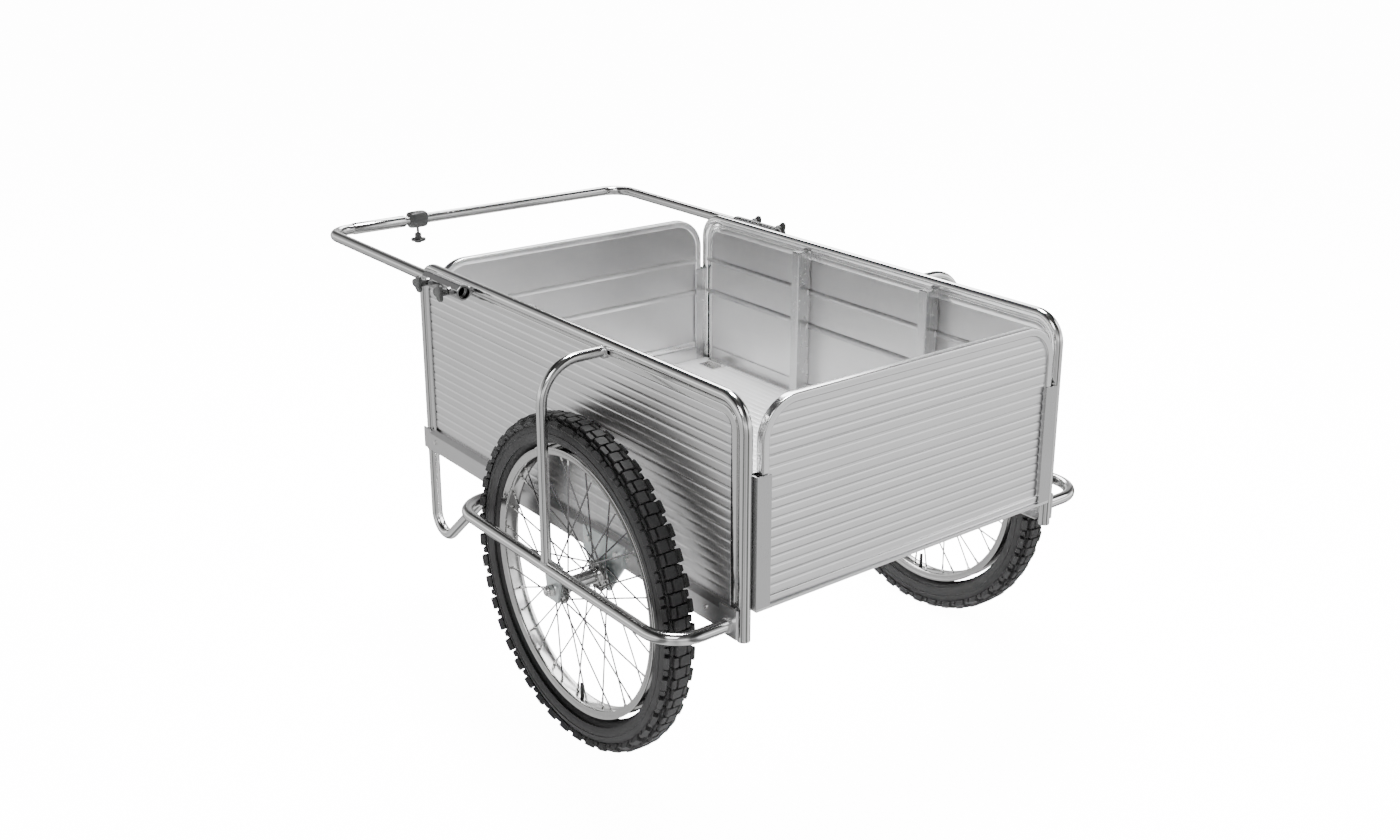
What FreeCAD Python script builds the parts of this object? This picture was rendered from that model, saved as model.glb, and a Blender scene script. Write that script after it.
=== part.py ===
import FreeCAD, Part
import math
import operator
import os

import Sketcher
from FreeCAD import Placement, Rotation, Vector

# Folding aluminium hand cart. +X is to the right, +Y is forward to the pull handle, +Z is up.
# The origin is on the ground under the middle of the cart, with the bed level.

SIZES = [
    # bed frame; the heights called rise are measured up from the foot of the bottom rails
    ("bed_length", 885),  # between the centres of the rear and front posts
    ("rear_post_y", -612),
    ("bed_half_width", 313),  # to the centre of the side hoops
    ("top_rise", 339),  # to the centre of the hoops' top rails
    ("post_foot_drop", 6),
    ("tube_r", 9.5),
    ("tube_wall", 1.5),
    ("hoop_bend_r", 42),
    ("lip_depth", 14),
    ("lip_thick", 13),
    ("plank_thick", 8),
    ("joint_rib_high", 9),
    ("joint_rib_deep", 5),
    ("lower_joint_rise", 194),
    ("upper_joint_rise", 259),
    ("rail_above_axle", 25),
    ("rail_high", 39),
    ("rail_deep", 22),
    ("rail_wall", 2.5),
    ("floor_rise", 50),
    ("floor_plank", 100),
    ("cross_rail_wide", 40),
    ("cross_rail_high", 20),
    ("rear_rail_ahead", 40),  # its rear face, ahead of the inside of the rear posts
    ("ledge_thick", 4),
    ("sill_rise", 74),
    ("strip_thick", 2),
    ("upright_wide", 19),
    ("upright_deep", 26),
    ("upright_rear_back", 184.5),  # behind the middle of the bed
    ("upright_front_ahead", 137.5),
    # end boards in their corner channels
    ("board_side_gap", 10.5),
    ("board_thick", 14),
    ("board_corner_r", 60),
    ("board_rim", 11),
    ("board_above_rail", 1),
    ("board_foot_rise", 42),
    ("channel_wide", 25),
    ("channel_deep", 20),
    ("channel_wall", 2),
    ("channel_high", 194),
    ("channel_gap", 0.8),
    ("rear_board_back", 4),  # behind the rear posts
    ("front_board_ahead", 0.5),
    # handle
    ("arm_offset", 23.5),  # outwards from the hoop
    ("arm_drop", 5),
    ("arm_r", 10),
    ("bar_ahead", 341),  # ahead of the front posts
    ("handle_bend_r", 45),
    ("arm_in_sleeve", 108),
    ("sleeve_wall", 2.65),
    ("sleeve_gap", 0.35),
    ("sleeve_behind", 61),  # its front end, behind the front posts
    ("sleeve_long", 122),
    ("stub_long", 160.5),  # from the left arm
    ("stub_wall", 1.5),
    ("block_from_stub", 10),
    ("block_wide", 36),
    ("block_high", 32),
    ("clamp_knob_drop", 14),  # below the block
    ("knob_r", 16),
    ("knob_thick", 15),
    ("knob_head", 7.5),
    ("knob_neck_r", 7),
    ("knob_stud_r", 3),
    ("knob_gap", 0.06),
    ("knob_spacing", 73),
    # wheels
    ("axle_ahead", 319),  # ahead of the rear posts
    ("wheel_r", 262),
    ("wheel_offset", 59),  # outwards from the hoop
    ("tyre_half", 26),
    ("tyre_high", 52),
    ("rim_deep", 13),
    ("rim_half", 15),
    ("tube_section_r", 17),
    ("axle_r", 5),
    ("axle_gap", 0.08),
    ("hub_r", 15),
    ("flange_r", 25),
    ("flange_x", 32.5),
    ("flange_thick", 3),
    ("spoke_r", 1),
    ("spoke_count", 36),
    # wheel guards
    ("guard_offset", 116),  # outwards from the hoop
    ("guard_rise", 16),
    ("guard_bend_r", 55),
    ("guard_clear", 14),  # its centre ahead of the tyre
    ("guard_rear_ahead", 16),  # ahead of the rear posts
    ("arch_r", 8),
    ("arch_drop", 9),
    ("arch_bend_r", 62),
    ("plate_thick", 4),
    # front legs
    ("leg_drop", 172),
    ("leg_bend_r", 34),
    ("leg_reach", 236),
]

OPERATIONS = {"+": operator.add, "-": operator.sub, "*": operator.mul, "/": operator.truediv}


class Size:
    """A length in millimetres with the spreadsheet formula that gives it."""

    def __init__(self, value, formula):
        self.value = float(value)
        self.formula = formula

    def joined(self, sign, other, swap=False):
        other = as_size(other)
        left, right = (other, self) if swap else (self, other)
        value = OPERATIONS[sign](left.value, right.value)
        return Size(value, f"({left.formula} {sign} {right.formula})")

    def __add__(self, other):
        return self.joined("+", other)

    def __radd__(self, other):
        return self.joined("+", other, True)

    def __sub__(self, other):
        return self.joined("-", other)

    def __rsub__(self, other):
        return self.joined("-", other, True)

    def __mul__(self, other):
        return self.joined("*", other)

    def __rmul__(self, other):
        return self.joined("*", other, True)

    def __truediv__(self, other):
        return self.joined("/", other)

    def __neg__(self):
        return self * -1


def as_size(thing):
    return thing if isinstance(thing, Size) else Size(thing, repr(float(thing)))


class Cells:
    """The spreadsheet's cells as attributes."""


def fill_sheet(doc):
    sheet = doc.addObject("Spreadsheet::Sheet", "Sizes")
    for row, (alias, number) in enumerate(SIZES, start=1):
        sheet.set(f"A{row}", alias)
        sheet.set(f"B{row}", str(number))
        sheet.setAlias(f"B{row}", alias)
    doc.recompute()
    cells = Cells()
    for alias, number in SIZES:
        setattr(cells, alias, Size(sheet.get(alias), f"Sizes.{alias}"))
    return cells


doc = FreeCAD.newDocument("HandCart")
cell = fill_sheet(doc)
nodes = []

SIDES = (("left", -1), ("right", 1))
ACROSS = Rotation(Vector(0, 1, 0), 90)  # turns +Z to +X
ALONG = Rotation(Vector(1, 0, 0), -90)  # turns +Z to +Y


def outwards(side):
    """The turn from +Z to the outside of the left (-1) or right (1) side."""
    return ACROSS if side > 0 else ACROSS.inverted()


# places that several pieces share
axle_y = cell.rear_post_y + cell.axle_ahead
rail_z = cell.wheel_r + cell.rail_above_axle
rail_roof_z = rail_z + cell.rail_high
floor_z = rail_z + cell.floor_rise
sill_z = rail_z + cell.sill_rise
board_foot_z = rail_z + cell.board_foot_rise
joint_levels = (rail_z + cell.lower_joint_rise, rail_z + cell.upper_joint_rise)
rail_top_z = rail_z + cell.top_rise
board_top_z = rail_top_z + cell.board_above_rail
guard_z = rail_z + cell.guard_rise
arm_z = rail_top_z - cell.arm_drop
front_post_y = cell.rear_post_y + cell.bed_length
rear_inside_y = cell.rear_post_y + cell.tube_r
rear_rail_y = rear_inside_y + cell.rear_rail_ahead
front_inside_y = front_post_y - cell.tube_r
bed_middle_y = cell.rear_post_y + cell.bed_length / 2
upright_rear_y = bed_middle_y - cell.upright_rear_back
upright_front_y = bed_middle_y + cell.upright_front_ahead
rear_board_y = cell.rear_post_y - cell.rear_board_back
front_board_y = front_post_y + cell.front_board_ahead
bar_y = front_post_y + cell.bar_ahead
sleeve_rear_y = front_post_y - cell.sleeve_behind - cell.sleeve_long
arm_rear_y = front_post_y - cell.sleeve_behind - cell.arm_in_sleeve
guard_front_y = axle_y + cell.wheel_r + cell.guard_clear
guard_rear_y = cell.rear_post_y + cell.guard_rear_ahead
floor_half = cell.bed_half_width - cell.tube_r
channel_inner_x = floor_half - cell.channel_wide
board_half = floor_half - cell.board_side_gap
rail_face_x = cell.bed_half_width + cell.tube_r + cell.rail_wall
rail_edge_x = rail_face_x - cell.rail_deep
arm_x = cell.bed_half_width + cell.arm_offset
sleeve_r = cell.arm_r + cell.sleeve_gap + cell.sleeve_wall
spigot_r = cell.arm_r - cell.tube_wall
stub_r = cell.arm_r + cell.stub_wall
stub_end_x = cell.stub_long - arm_x
block_x = stub_end_x + cell.block_from_stub + cell.block_wide / 2
bar_start_x = block_x + cell.block_wide / 2
wheel_x = cell.bed_half_width + cell.wheel_offset
guard_x = cell.bed_half_width + cell.guard_offset
rim_r = cell.wheel_r - cell.tyre_high
rim_bed_r = rim_r - cell.rim_deep
hub_half = cell.flange_x + cell.flange_thick + 2.5
inner_plate_x = rail_face_x + cell.plate_thick
outer_plate_x = guard_x - cell.tube_r - cell.plate_thick


def bind(thing, name, size):
    thing.setExpression(name, as_size(size).formula)


def keep(thing, label):
    """Marks an object as a sub-part: its label is its node name."""
    thing.Label = label
    nodes.append(thing)
    return thing


def place(thing, x, y, z, turn=None):
    if turn:
        thing.Placement = Placement(Vector(), turn)
    for axis, size in zip("xyz", (x, y, z)):
        bind(thing, f"Placement.Base.{axis}", size)
    return thing


def box(name, low, high):
    """A Part::Box between two corners."""
    thing = doc.addObject("Part::Box", name)
    place(thing, *low)
    for side, a, b in zip(("Length", "Width", "Height"), low, high):
        bind(thing, side, as_size(b) - a)
    return thing


def rod(name, radius, length, x, y, z, turn=None):
    """A Part::Cylinder that starts at a point and runs along +Z, turned."""
    thing = doc.addObject("Part::Cylinder", name)
    bind(thing, "Radius", radius)
    bind(thing, "Height", length)
    return place(thing, x, y, z, turn)


def cut(name, base, *tools):
    """Base less all the tools."""
    for tool in tools:
        result = doc.addObject("Part::Cut", name)
        result.Base, result.Tool = base, tool
        base = result
    return base


def fuse(name, things):
    result = doc.addObject("Part::MultiFuse", name)
    result.Shapes = things
    return result


def group(label, things):
    """Separate solids in one node."""
    result = doc.addObject("Part::Compound", label)
    result.Links = things
    return keep(result, label)


def body(label):
    thing = doc.addObject("PartDesign::Body", label)
    return keep(thing, label)


def sketch_on(owner, role, name):
    sketch = owner.newObject("Sketcher::SketchObject", name)
    plane = [item for item in owner.Origin.OriginFeatures if item.Role == role][0]
    sketch.AttachmentSupport = [(plane, "")]
    sketch.MapMode = "FlatFace"
    return sketch


def outline(sketch, corners):
    """Adds a closed run of straight lines. Each corner is a pair of sizes."""
    corners = [(as_size(x), as_size(y)) for x, y in corners]
    first = sketch.GeometryCount
    points = [Vector(x.value, y.value, 0) for x, y in corners]
    for start, end in zip(points, points[1:] + points[:1]):
        sketch.addGeometry(Part.LineSegment(start, end))
    last = len(corners) - 1
    for i, (x, y) in enumerate(corners):
        after = first if i == last else first + i + 1
        sketch.addConstraint(Sketcher.Constraint("Coincident", first + i, 2, after, 1))
        for kind, size in (("DistanceX", x), ("DistanceY", y)):
            number = sketch.addConstraint(Sketcher.Constraint(kind, -1, 1, first + i, 1, size.value))
            bind(sketch, f"Constraints[{number}]", size)
    return sketch


def circle(sketch, x, y, radius):
    """Adds a circle at a place that is a pair of sizes."""
    x, y, radius = as_size(x), as_size(y), as_size(radius)
    centre = Vector(x.value, y.value, 0)
    number = sketch.addGeometry(Part.Circle(centre, Vector(0, 0, 1), radius.value))
    rules = [
        (Sketcher.Constraint("DistanceX", -1, 1, number, 3, x.value), x),
        (Sketcher.Constraint("DistanceY", -1, 1, number, 3, y.value), y),
        (Sketcher.Constraint("Radius", number, radius.value), radius),
    ]
    for rule, size in rules:
        bind(sketch, f"Constraints[{sketch.addConstraint(rule)}]", size)
    return sketch


def pad(owner, sketch, length, symmetric=True, reverse=False):
    feature = owner.newObject("PartDesign::Pad", "Pad")
    feature.Profile = sketch
    feature.SideType = "Symmetric" if symmetric else "One side"
    feature.Reversed = reverse
    bind(feature, "Length", length)
    sketch.Visibility = False
    return feature


def extrusion(label, role, loops, length, x, y, z):
    """A body whose section is drawn on an origin plane and padded both ways from it."""
    owner = body(label)
    sketch = sketch_on(owner, role, f"{label}_section")
    for loop in loops:
        outline(sketch, loop)
    pad(owner, sketch, length)
    return place(owner, x, y, z)


def turned(label, corners, x, y, z):
    """A body turned about the X axis. Each corner is (along X, radius)."""
    owner = body(label)
    sketch = sketch_on(owner, "XY_Plane", f"{label}_section")
    outline(sketch, corners)
    feature = owner.newObject("PartDesign::Revolution", "Turn")
    feature.Profile = sketch
    feature.ReferenceAxis = (sketch, ["H_Axis"])
    feature.Angle = 360
    return place(owner, x, y, z)


def rectangle(low_x, low_y, high_x, high_y):
    return [(low_x, low_y), (high_x, low_y), (high_x, high_y), (low_x, high_y)]


def rounded_path(points, radius):
    """Straight runs joined by tangent arcs of one radius, as a list of edges."""
    edges = []
    start = points[0]
    for before, corner, after in zip(points, points[1:], points[2:]):
        back = (before - corner).normalize()
        ahead = (after - corner).normalize()
        half = back.getAngle(ahead) / 2
        reach = radius / math.tan(half)
        bisector = (back + ahead).normalize()
        into, out = corner + back * reach, corner + ahead * reach
        middle = corner + bisector * (radius / math.sin(half) - radius)
        edges.append(Part.LineSegment(start, into).toShape())
        edges.append(Part.Arc(into, middle, out).toShape())
        start = out
    edges.append(Part.LineSegment(start, points[-1]).toShape())
    return edges


def sweep_round(path, radius):
    start = path.Edges[0].Vertexes[0].Point
    ring = Part.Wire(Part.makeCircle(radius, start, path.Edges[0].tangentAt(0)))
    return path.makePipeShell([ring], True, False)


def bent_tube(points, bend_radius, radius, wall):
    """A hollow tube along a path of straight runs and bends."""
    path = Part.Wire(rounded_path(points, bend_radius))
    solid = sweep_round(path, radius)
    return solid.cut(sweep_round(path, radius - wall))


def shaped(label, shape):
    """A sub-part whose shape the code works out from the spreadsheet."""
    thing = doc.addObject("Part::Feature", label)
    thing.Shape = shape
    return keep(thing, label)


def rounded_face(low, high, radius):
    """An upright face in the XZ plane with round top corners, from two (x, z) corners."""
    points = [
        Vector(low[0], 0, low[1]),
        Vector(low[0], 0, high[1]),
        Vector(high[0], 0, high[1]),
        Vector(high[0], 0, low[1]),
    ]
    edges = rounded_path(points, radius)
    edges.append(Part.LineSegment(points[-1], points[0]).toShape())
    return Part.Face(Part.Wire(edges))


# ---------------------------------------------------------------- side frames


def side_hoop(side_name, side):
    """The bent tube round a side panel, with the two lips that grip the planks."""
    x = side * cell.bed_half_width.value
    rear, front = cell.rear_post_y.value, front_post_y.value
    top, foot = rail_top_z.value, (rail_z - cell.post_foot_drop).value
    radius, bend = cell.tube_r.value, cell.hoop_bend_r.value
    points = [
        Vector(x, rear, foot),
        Vector(x, rear, top),
        Vector(x, front, top),
        Vector(x, front, rail_z.value),
    ]
    shape = bent_tube(points, bend, radius, cell.tube_wall.value)
    shape = shape.fuse(hoop_lips(x))
    return shaped(f"{side_name}_hoop", shape.removeSplitter())


def hoop_lips(x):
    """Two thin strips that follow the inside of the hoop, one each side of the planks."""
    edge = cell.tube_r.value - 1
    inner = cell.tube_r.value + cell.lip_depth.value
    ring = hoop_face(edge).cut(hoop_face(inner))
    gap = cell.plank_thick.value / 2
    deep = cell.lip_thick.value / 2 - gap
    strips = []
    for start in (gap, -gap - deep):
        strip = ring.extrude(Vector(0, deep, 0))
        strip.translate(Vector(0, start, 0))
        strips.append(strip)
    lips = Part.makeCompound(strips)
    lips.rotate(Vector(), Vector(0, 0, 1), 90)
    lips.translate(Vector(x, 0, 0))
    return lips


def hoop_face(inset):
    """The area inside the hoop at a distance from its centre line, in the XZ plane."""
    low = (cell.rear_post_y.value + inset, rail_roof_z.value)
    high = (front_post_y.value - inset, rail_top_z.value - inset)
    return rounded_face(low, high, max(cell.hoop_bend_r.value - inset, 8))


def side_planks(side_name, side):
    """Three ribbed planks that hook together, cut round to the hoop at the top corners."""
    slab = hoop_face(cell.tube_r.value + 0.2).extrude(Vector(0, cell.plank_thick.value - 0.2, 0))
    slab.translate(Vector(0, -cell.plank_thick.value / 2 + 0.1, 0))
    slab.rotate(Vector(), Vector(0, 0, 1), 90)
    slab.translate(Vector(side * cell.bed_half_width.value, 0, 0))
    pieces = []
    bed = slab.BoundBox
    for low, high in plank_bands(bed.ZMin, bed.ZMax):
        tool = Part.makeBox(60, bed.YLength + 2, high - low)
        tool.translate(Vector(bed.Center.x - 30, bed.YMin - 1, low))
        pieces.append(slab.common(tool))
    inset = cell.lip_depth.value + 0.5
    inside = side * (cell.bed_half_width.value - cell.plank_thick.value / 2)
    for i, level in enumerate(joint_levels):
        deep = cell.joint_rib_deep.value
        rib = Part.makeBox(deep, bed.YLength - 2 * inset, cell.joint_rib_high.value)
        start = inside - deep if side > 0 else inside
        rib.translate(Vector(start, bed.YMin + inset, (level - cell.joint_rib_high).value))
        pieces[i] = pieces[i].fuse(rib).removeSplitter()
    return shaped(f"{side_name}_side_planks", Part.makeCompound(pieces))


def plank_bands(low, high):
    """The heights at which the three planks of a board meet."""
    levels = [low, *(level.value for level in joint_levels), high]
    return list(zip(levels, levels[1:]))


def bottom_rail(side_name, side):
    """A channel under the side panel. Its flat outer wall runs on over the front post."""
    label = f"{side_name}_bottom_rail"
    owner = body(label)
    length = cell.bed_length - 2 * cell.tube_r - 1
    section = sketch_on(owner, "XZ_Plane", f"{label}_section")
    wall = cell.rail_wall
    back = cell.rail_deep
    outline(section, [
        (0, 0),
        (side * -back, 0),
        (side * -back, wall),
        (side * -wall, wall),
        (side * -wall, cell.rail_high - wall),
        (side * -back, cell.rail_high - wall),
        (side * -back, cell.rail_high),
        (0, cell.rail_high),
    ])
    pad(owner, section, length)
    cover = sketch_on(owner, "YZ_Plane", f"{label}_cover")
    reach = length / 2 + 2 * cell.tube_r + 2
    outline(cover, rectangle(0, 0, reach, cell.rail_high))
    pad(owner, cover, wall, False, side > 0)
    return place(owner, side * rail_face_x, bed_middle_y, rail_z)


def side_uprights(side_name, side):
    """Two box-section uprights welded inside the side panel."""
    inside = cell.bed_half_width - cell.plank_thick / 2 - cell.joint_rib_deep
    near, far = inside - cell.upright_deep, inside
    foot = floor_z + cell.strip_thick
    top = rail_top_z - cell.tube_r * 0.7  # just clear of the round of the top rail
    uprights = []
    for name, y in (("rear", upright_rear_y), ("front", upright_front_y)):
        low_x, high_x = (near, far) if side > 0 else (-far, -near)
        half = cell.upright_wide / 2
        outer = box(f"{name}_upright_outer", (low_x, y - half, foot), (high_x, y + half, top))
        wall = cell.tube_wall
        inner = box(
            f"{name}_upright_inner",
            (low_x + wall, y - half + wall, foot + wall),
            (high_x - wall, y + half - wall, top - wall),
        )
        uprights.append(cut(f"{name}_upright", outer, inner))
    return group(f"{side_name}_side_uprights", uprights)


def floor_strip(side_name, side):
    """The thin strip that closes the corner between the floor and a side panel."""
    inside = cell.bed_half_width - cell.plank_thick / 2 - 0.2
    low, high = floor_z, sill_z
    thick = cell.strip_thick
    corner = [
        (side * inside, low),
        (side * (inside - 12), low),
        (side * (inside - 12), low + thick),
        (side * (inside - thick), low + thick),
        (side * (inside - thick), high),
        (side * inside, high),
    ]
    length = cell.bed_length - 2 * (cell.tube_r + cell.lip_depth)
    return extrusion(f"{side_name}_floor_strip", "XZ_Plane", [corner], length, 0, bed_middle_y, 0)


# ---------------------------------------------------------------- floor


def floor_planks():
    """Ribbed planks side by side, lying lengthwise on the cross rails."""
    half = floor_half.value - 1
    width = cell.floor_plank.value
    low = floor_z.value - cell.plank_thick.value
    start, end = rear_inside_y.value + 1, front_inside_y.value - 1
    planks = []
    edge = -half
    while edge < half - 0.001:
        wide = min(width, half - edge)
        plank = Part.makeBox(wide, end - start, cell.plank_thick.value)
        plank.translate(Vector(edge, start, low))
        planks.append(plank)
        edge += wide
    return shaped("floor_planks", Part.makeCompound(planks))


def floor_cross_rails():
    """Box-section rails across the bed, between the two bottom rails."""
    top = floor_z - cell.plank_thick
    foot = top - cell.cross_rail_high
    half = cell.cross_rail_wide / 2
    reach, wall = rail_edge_x, cell.tube_wall
    spots = (
        ("rear", rear_rail_y + half),
        ("axle_rear", axle_y - 60),
        ("axle_front", axle_y + 60),
        ("middle", upright_front_y),
        ("front", front_inside_y - half),
    )
    rails = []
    for name, y in spots:
        outer = box(f"{name}_rail_outer", (-reach, y - half, foot), (reach, y + half, top))
        inner = box(
            f"{name}_rail_inner",
            (-reach - 1, y - half + wall, foot + wall),
            (reach + 1, y + half - wall, top - wall),
        )
        rails.append(cut(f"{name}_rail", outer, inner))
    return group("floor_cross_rails", rails)


def end_sills():
    """What the end boards stand on: a thin ledge at the rear and a stepped sill at the front."""
    foot = floor_z - cell.plank_thick - cell.cross_rail_high
    half = cell.channel_deep / 2
    between = channel_inner_x
    rear = box(
        "rear_ledge",
        (-rail_edge_x, rear_board_y - half, board_foot_z - cell.ledge_thick),
        (rail_edge_x, rear_rail_y, board_foot_z),
    )
    front_base = box(
        "front_sill_base",
        (-floor_half, front_inside_y, foot),
        (floor_half, front_board_y + half, board_foot_z),
    )
    front_step = box(
        "front_sill_step",
        (-between, front_inside_y, board_foot_z),
        (between, front_board_y + half, sill_z),
    )
    return group("end_sills", [rear, fuse("front_sill", [front_base, front_step])])


def corner_hinges():
    """Small leaf hinges on the floor beside the front posts, with their pins."""
    parts = []
    top = floor_z
    y = front_inside_y - 55
    for side_name, side in SIDES:
        inner = floor_half - 10
        low_x, high_x = (inner - 34, inner) if side > 0 else (-inner, 34 - inner)
        leaf = box(f"{side_name}_leaf", (low_x, y - 22, top), (high_x, y + 22, top + 2.5))
        pin = rod(f"{side_name}_pin", 4, 44, side * (inner - 8), y - 22, top + 4, ALONG)
        parts.append(fuse(f"{side_name}_hinge", [leaf, pin]))
    return group("corner_hinges", parts)


# ---------------------------------------------------------------- end boards


def corner_channels(end_name, y):
    """The two upright channels that an end board slides down into."""
    parts = []
    half, wall = cell.channel_deep / 2, cell.channel_wall
    slot = cell.board_thick / 2 + cell.channel_gap
    foot = board_foot_z
    top = foot + cell.channel_high
    inner, outer = channel_inner_x, floor_half
    for side_name, side in SIDES:
        name = f"{side_name}_{end_name}"
        low_x, high_x = (inner, outer) if side > 0 else (-outer, -inner)
        open_low, open_high = (low_x - 1, high_x - wall) if side > 0 else (low_x + wall, high_x + 1)
        block = box(f"{name}_channel_outer", (low_x, y - half, foot), (high_x, y + half, top))
        space = box(
            f"{name}_channel_slot",
            (open_low, y - slot, foot - 1),
            (open_high, y + slot, top + 1),
        )
        parts.append(cut(f"{name}_channel", block, space))
    return group(f"{end_name}_channels", parts)


def board_frame(label, y, foot):
    """The edging round a board: a thin rim with round top corners."""
    outer = board_face(foot, 0)
    inner = board_face(foot, cell.board_rim.value)
    rim = outer.extrude(Vector(0, cell.board_thick.value, 0))
    hole = inner.extrude(Vector(0, cell.board_thick.value, 0))
    shape = rim.cut(hole)
    shape.translate(Vector(0, y.value - cell.board_thick.value / 2, 0))
    return shaped(label, shape)


def board_face(foot, inset):
    half = board_half.value - inset
    low = (-half, foot.value + inset)
    high = (half, board_top_z.value - inset)
    return rounded_face(low, high, cell.board_corner_r.value - inset)


def board_planks(label, y, foot, inward):
    """Three planks inside a board's edging. The joint ribs are on the inner face."""
    thick = cell.plank_thick.value
    slab = board_face(foot, cell.board_rim.value).extrude(Vector(0, thick, 0))
    slab.translate(Vector(0, y.value - thick / 2, 0))
    bed = slab.BoundBox
    pieces = []
    for low, high in plank_bands(bed.ZMin, bed.ZMax):
        tool = Part.makeBox(bed.XLength + 2, 40, high - low)
        tool.translate(Vector(bed.XMin - 1, y.value - 20, low))
        pieces.append(slab.common(tool))
    deep = (cell.board_thick.value - thick) / 2
    face = y.value + inward * thick / 2
    margin = cell.channel_wide.value
    for i, level in enumerate(joint_levels):
        rib = Part.makeBox(bed.XLength - 2 * margin, deep, cell.joint_rib_high.value)
        start = face if inward > 0 else face - deep
        rib.translate(Vector(bed.XMin + margin, start, (level - cell.joint_rib_high).value))
        pieces[i] = pieces[i].fuse(rib).removeSplitter()
    return shaped(label, Part.makeCompound(pieces))


# ---------------------------------------------------------------- handle


def sleeve(side_name, side):
    """An open sleeve welded outside the top rail, with a threaded boss for each knob."""
    x, z = side * arm_x, arm_z
    bore = cell.arm_r + cell.sleeve_gap
    start, long = sleeve_rear_y, cell.sleeve_long
    barrel = rod(f"{side_name}_barrel", sleeve_r, long, x, start, z, ALONG)
    # the web fills the corner between the barrel and the top rail
    reach = side * (cell.arm_offset - cell.tube_r + 1)
    low_x, high_x = (x - reach, x) if side > 0 else (x, x - reach)
    web = box(f"{side_name}_web", (low_x, start, z - 5), (high_x, start + long, z + 5))
    pieces = [barrel, web]
    rail_x = side * cell.bed_half_width
    tools = [
        rod(f"{side_name}_bore", bore, long + 2, x, start - 1, z, ALONG),
        rod(f"{side_name}_rail", cell.tube_r, long + 2, rail_x, start - 1, rail_top_z, ALONG),
    ]
    for i, y in enumerate(sleeve_knob_ys()):
        out = outwards(side)
        boss = sleeve_r + 5
        pieces.append(rod(f"{side_name}_boss_{i}", 7, boss, x, y, z, out))
        hole = cell.knob_stud_r + cell.knob_gap
        tools.append(rod(f"{side_name}_hole_{i}", hole, boss + 2, x, y, z, out))
    solid = fuse(f"{side_name}_sleeve_solid", pieces)
    return keep(cut(f"{side_name}_sleeve_cut", solid, *tools), f"{side_name}_sleeve")


def sleeve_knob_ys():
    middle = sleeve_rear_y + cell.sleeve_long / 2
    return [middle - cell.knob_spacing / 2, middle + cell.knob_spacing / 2]


def knob(label, reach, x, y, z, turn):
    """A three-lobed knob moulded on a threaded stud. The stud starts at the origin along +Z."""
    head = reach + cell.knob_thick - cell.knob_head
    parts = [
        rod(f"{label}_neck", cell.knob_neck_r, cell.knob_thick, 0, 0, reach),
        rod(f"{label}_hub", cell.knob_r * 0.62, cell.knob_head, 0, 0, head),
    ]
    lobes = 3
    for i in range(lobes):
        angle = 2 * math.pi * i / lobes
        far = cell.knob_r * 0.56
        lobe_x, lobe_y = far * math.cos(angle), far * math.sin(angle)
        size = cell.knob_r * 0.44
        parts.append(rod(f"{label}_lobe_{i}", size, cell.knob_head, lobe_x, lobe_y, head))
    parts.append(rod(f"{label}_collar", 6.5, 3, 0, 0, reach - 3))
    parts.append(rod(f"{label}_stud", cell.knob_stud_r, reach + 1, 0, 0, 0))
    solid = fuse(label, parts)
    place(solid, x, y, z, turn)
    return keep(solid, label)


def sleeve_knobs(side_name, side):
    start = arm_x + cell.arm_r + 0.4
    reach = sleeve_r + 5 - cell.arm_r + 4
    for name, y in zip(("rear", "front"), sleeve_knob_ys()):
        knob(f"{side_name}_{name}_knob", reach, side * start, y, arm_z, outwards(side))


def handle_left():
    """The left arm and its short, thicker stub of the crossbar."""
    x, z = -arm_x.value, arm_z.value
    points = [
        Vector(x, arm_rear_y.value, z),
        Vector(x, bar_y.value, z),
        Vector(stub_end_x.value, bar_y.value, z),
    ]
    arm = bent_tube(points, cell.handle_bend_r.value, cell.arm_r.value, cell.tube_wall.value)
    collar_start = x + cell.handle_bend_r.value + 30
    long = stub_end_x.value - collar_start
    place_at = Vector(collar_start, bar_y.value, z)
    collar = Part.makeCylinder(stub_r.value, long, place_at, Vector(1, 0, 0))
    bore = Part.makeCylinder(cell.arm_r.value, long, place_at, Vector(1, 0, 0))
    return shaped("handle_left_arm", arm.fuse(collar.cut(bore)).removeSplitter())


def handle_right():
    """The right arm and the long run of the crossbar."""
    x, z = arm_x.value, arm_z.value
    points = [
        Vector(x, arm_rear_y.value, z),
        Vector(x, bar_y.value, z),
        Vector(bar_start_x.value, bar_y.value, z),
    ]
    shape = bent_tube(points, cell.handle_bend_r.value, cell.arm_r.value, cell.tube_wall.value)
    return shaped("handle_right_arm", shape)


def handle_spigot():
    """The rod inside the crossbar that joins the two halves."""
    start = stub_end_x - 60
    long = bar_start_x + 60 - start
    thing = rod("spigot", spigot_r, long, start, bar_y, arm_z, ACROSS)
    return keep(thing, "handle_spigot")


def clamp_block():
    """The block that grips the spigot between the two halves of the crossbar."""
    label = "handle_clamp_block"
    half_w, half_h = cell.block_wide / 2, cell.block_high / 2
    y = bar_y
    depth = cell.arm_r + 3.5
    solid = box(
        "clamp_solid",
        (block_x - half_w, y - depth, arm_z - half_h),
        (block_x + half_w, y + depth, arm_z + half_h),
    )
    bore = rod(
        "clamp_bore", spigot_r, cell.block_wide + 2,
        block_x - half_w - 1, y, arm_z, ACROSS,
    )
    slit = box(
        "clamp_slit",
        (block_x - half_w - 1, y - 1, arm_z),
        (block_x + half_w + 1, y + 1, arm_z + half_h + 1),
    )
    hole = rod(
        "clamp_hole", cell.knob_stud_r + cell.knob_gap, half_h + 1,
        block_x, y, arm_z - half_h - 1,
    )
    return keep(cut("clamp_cut", solid, bore, slit, hole), label)


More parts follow.
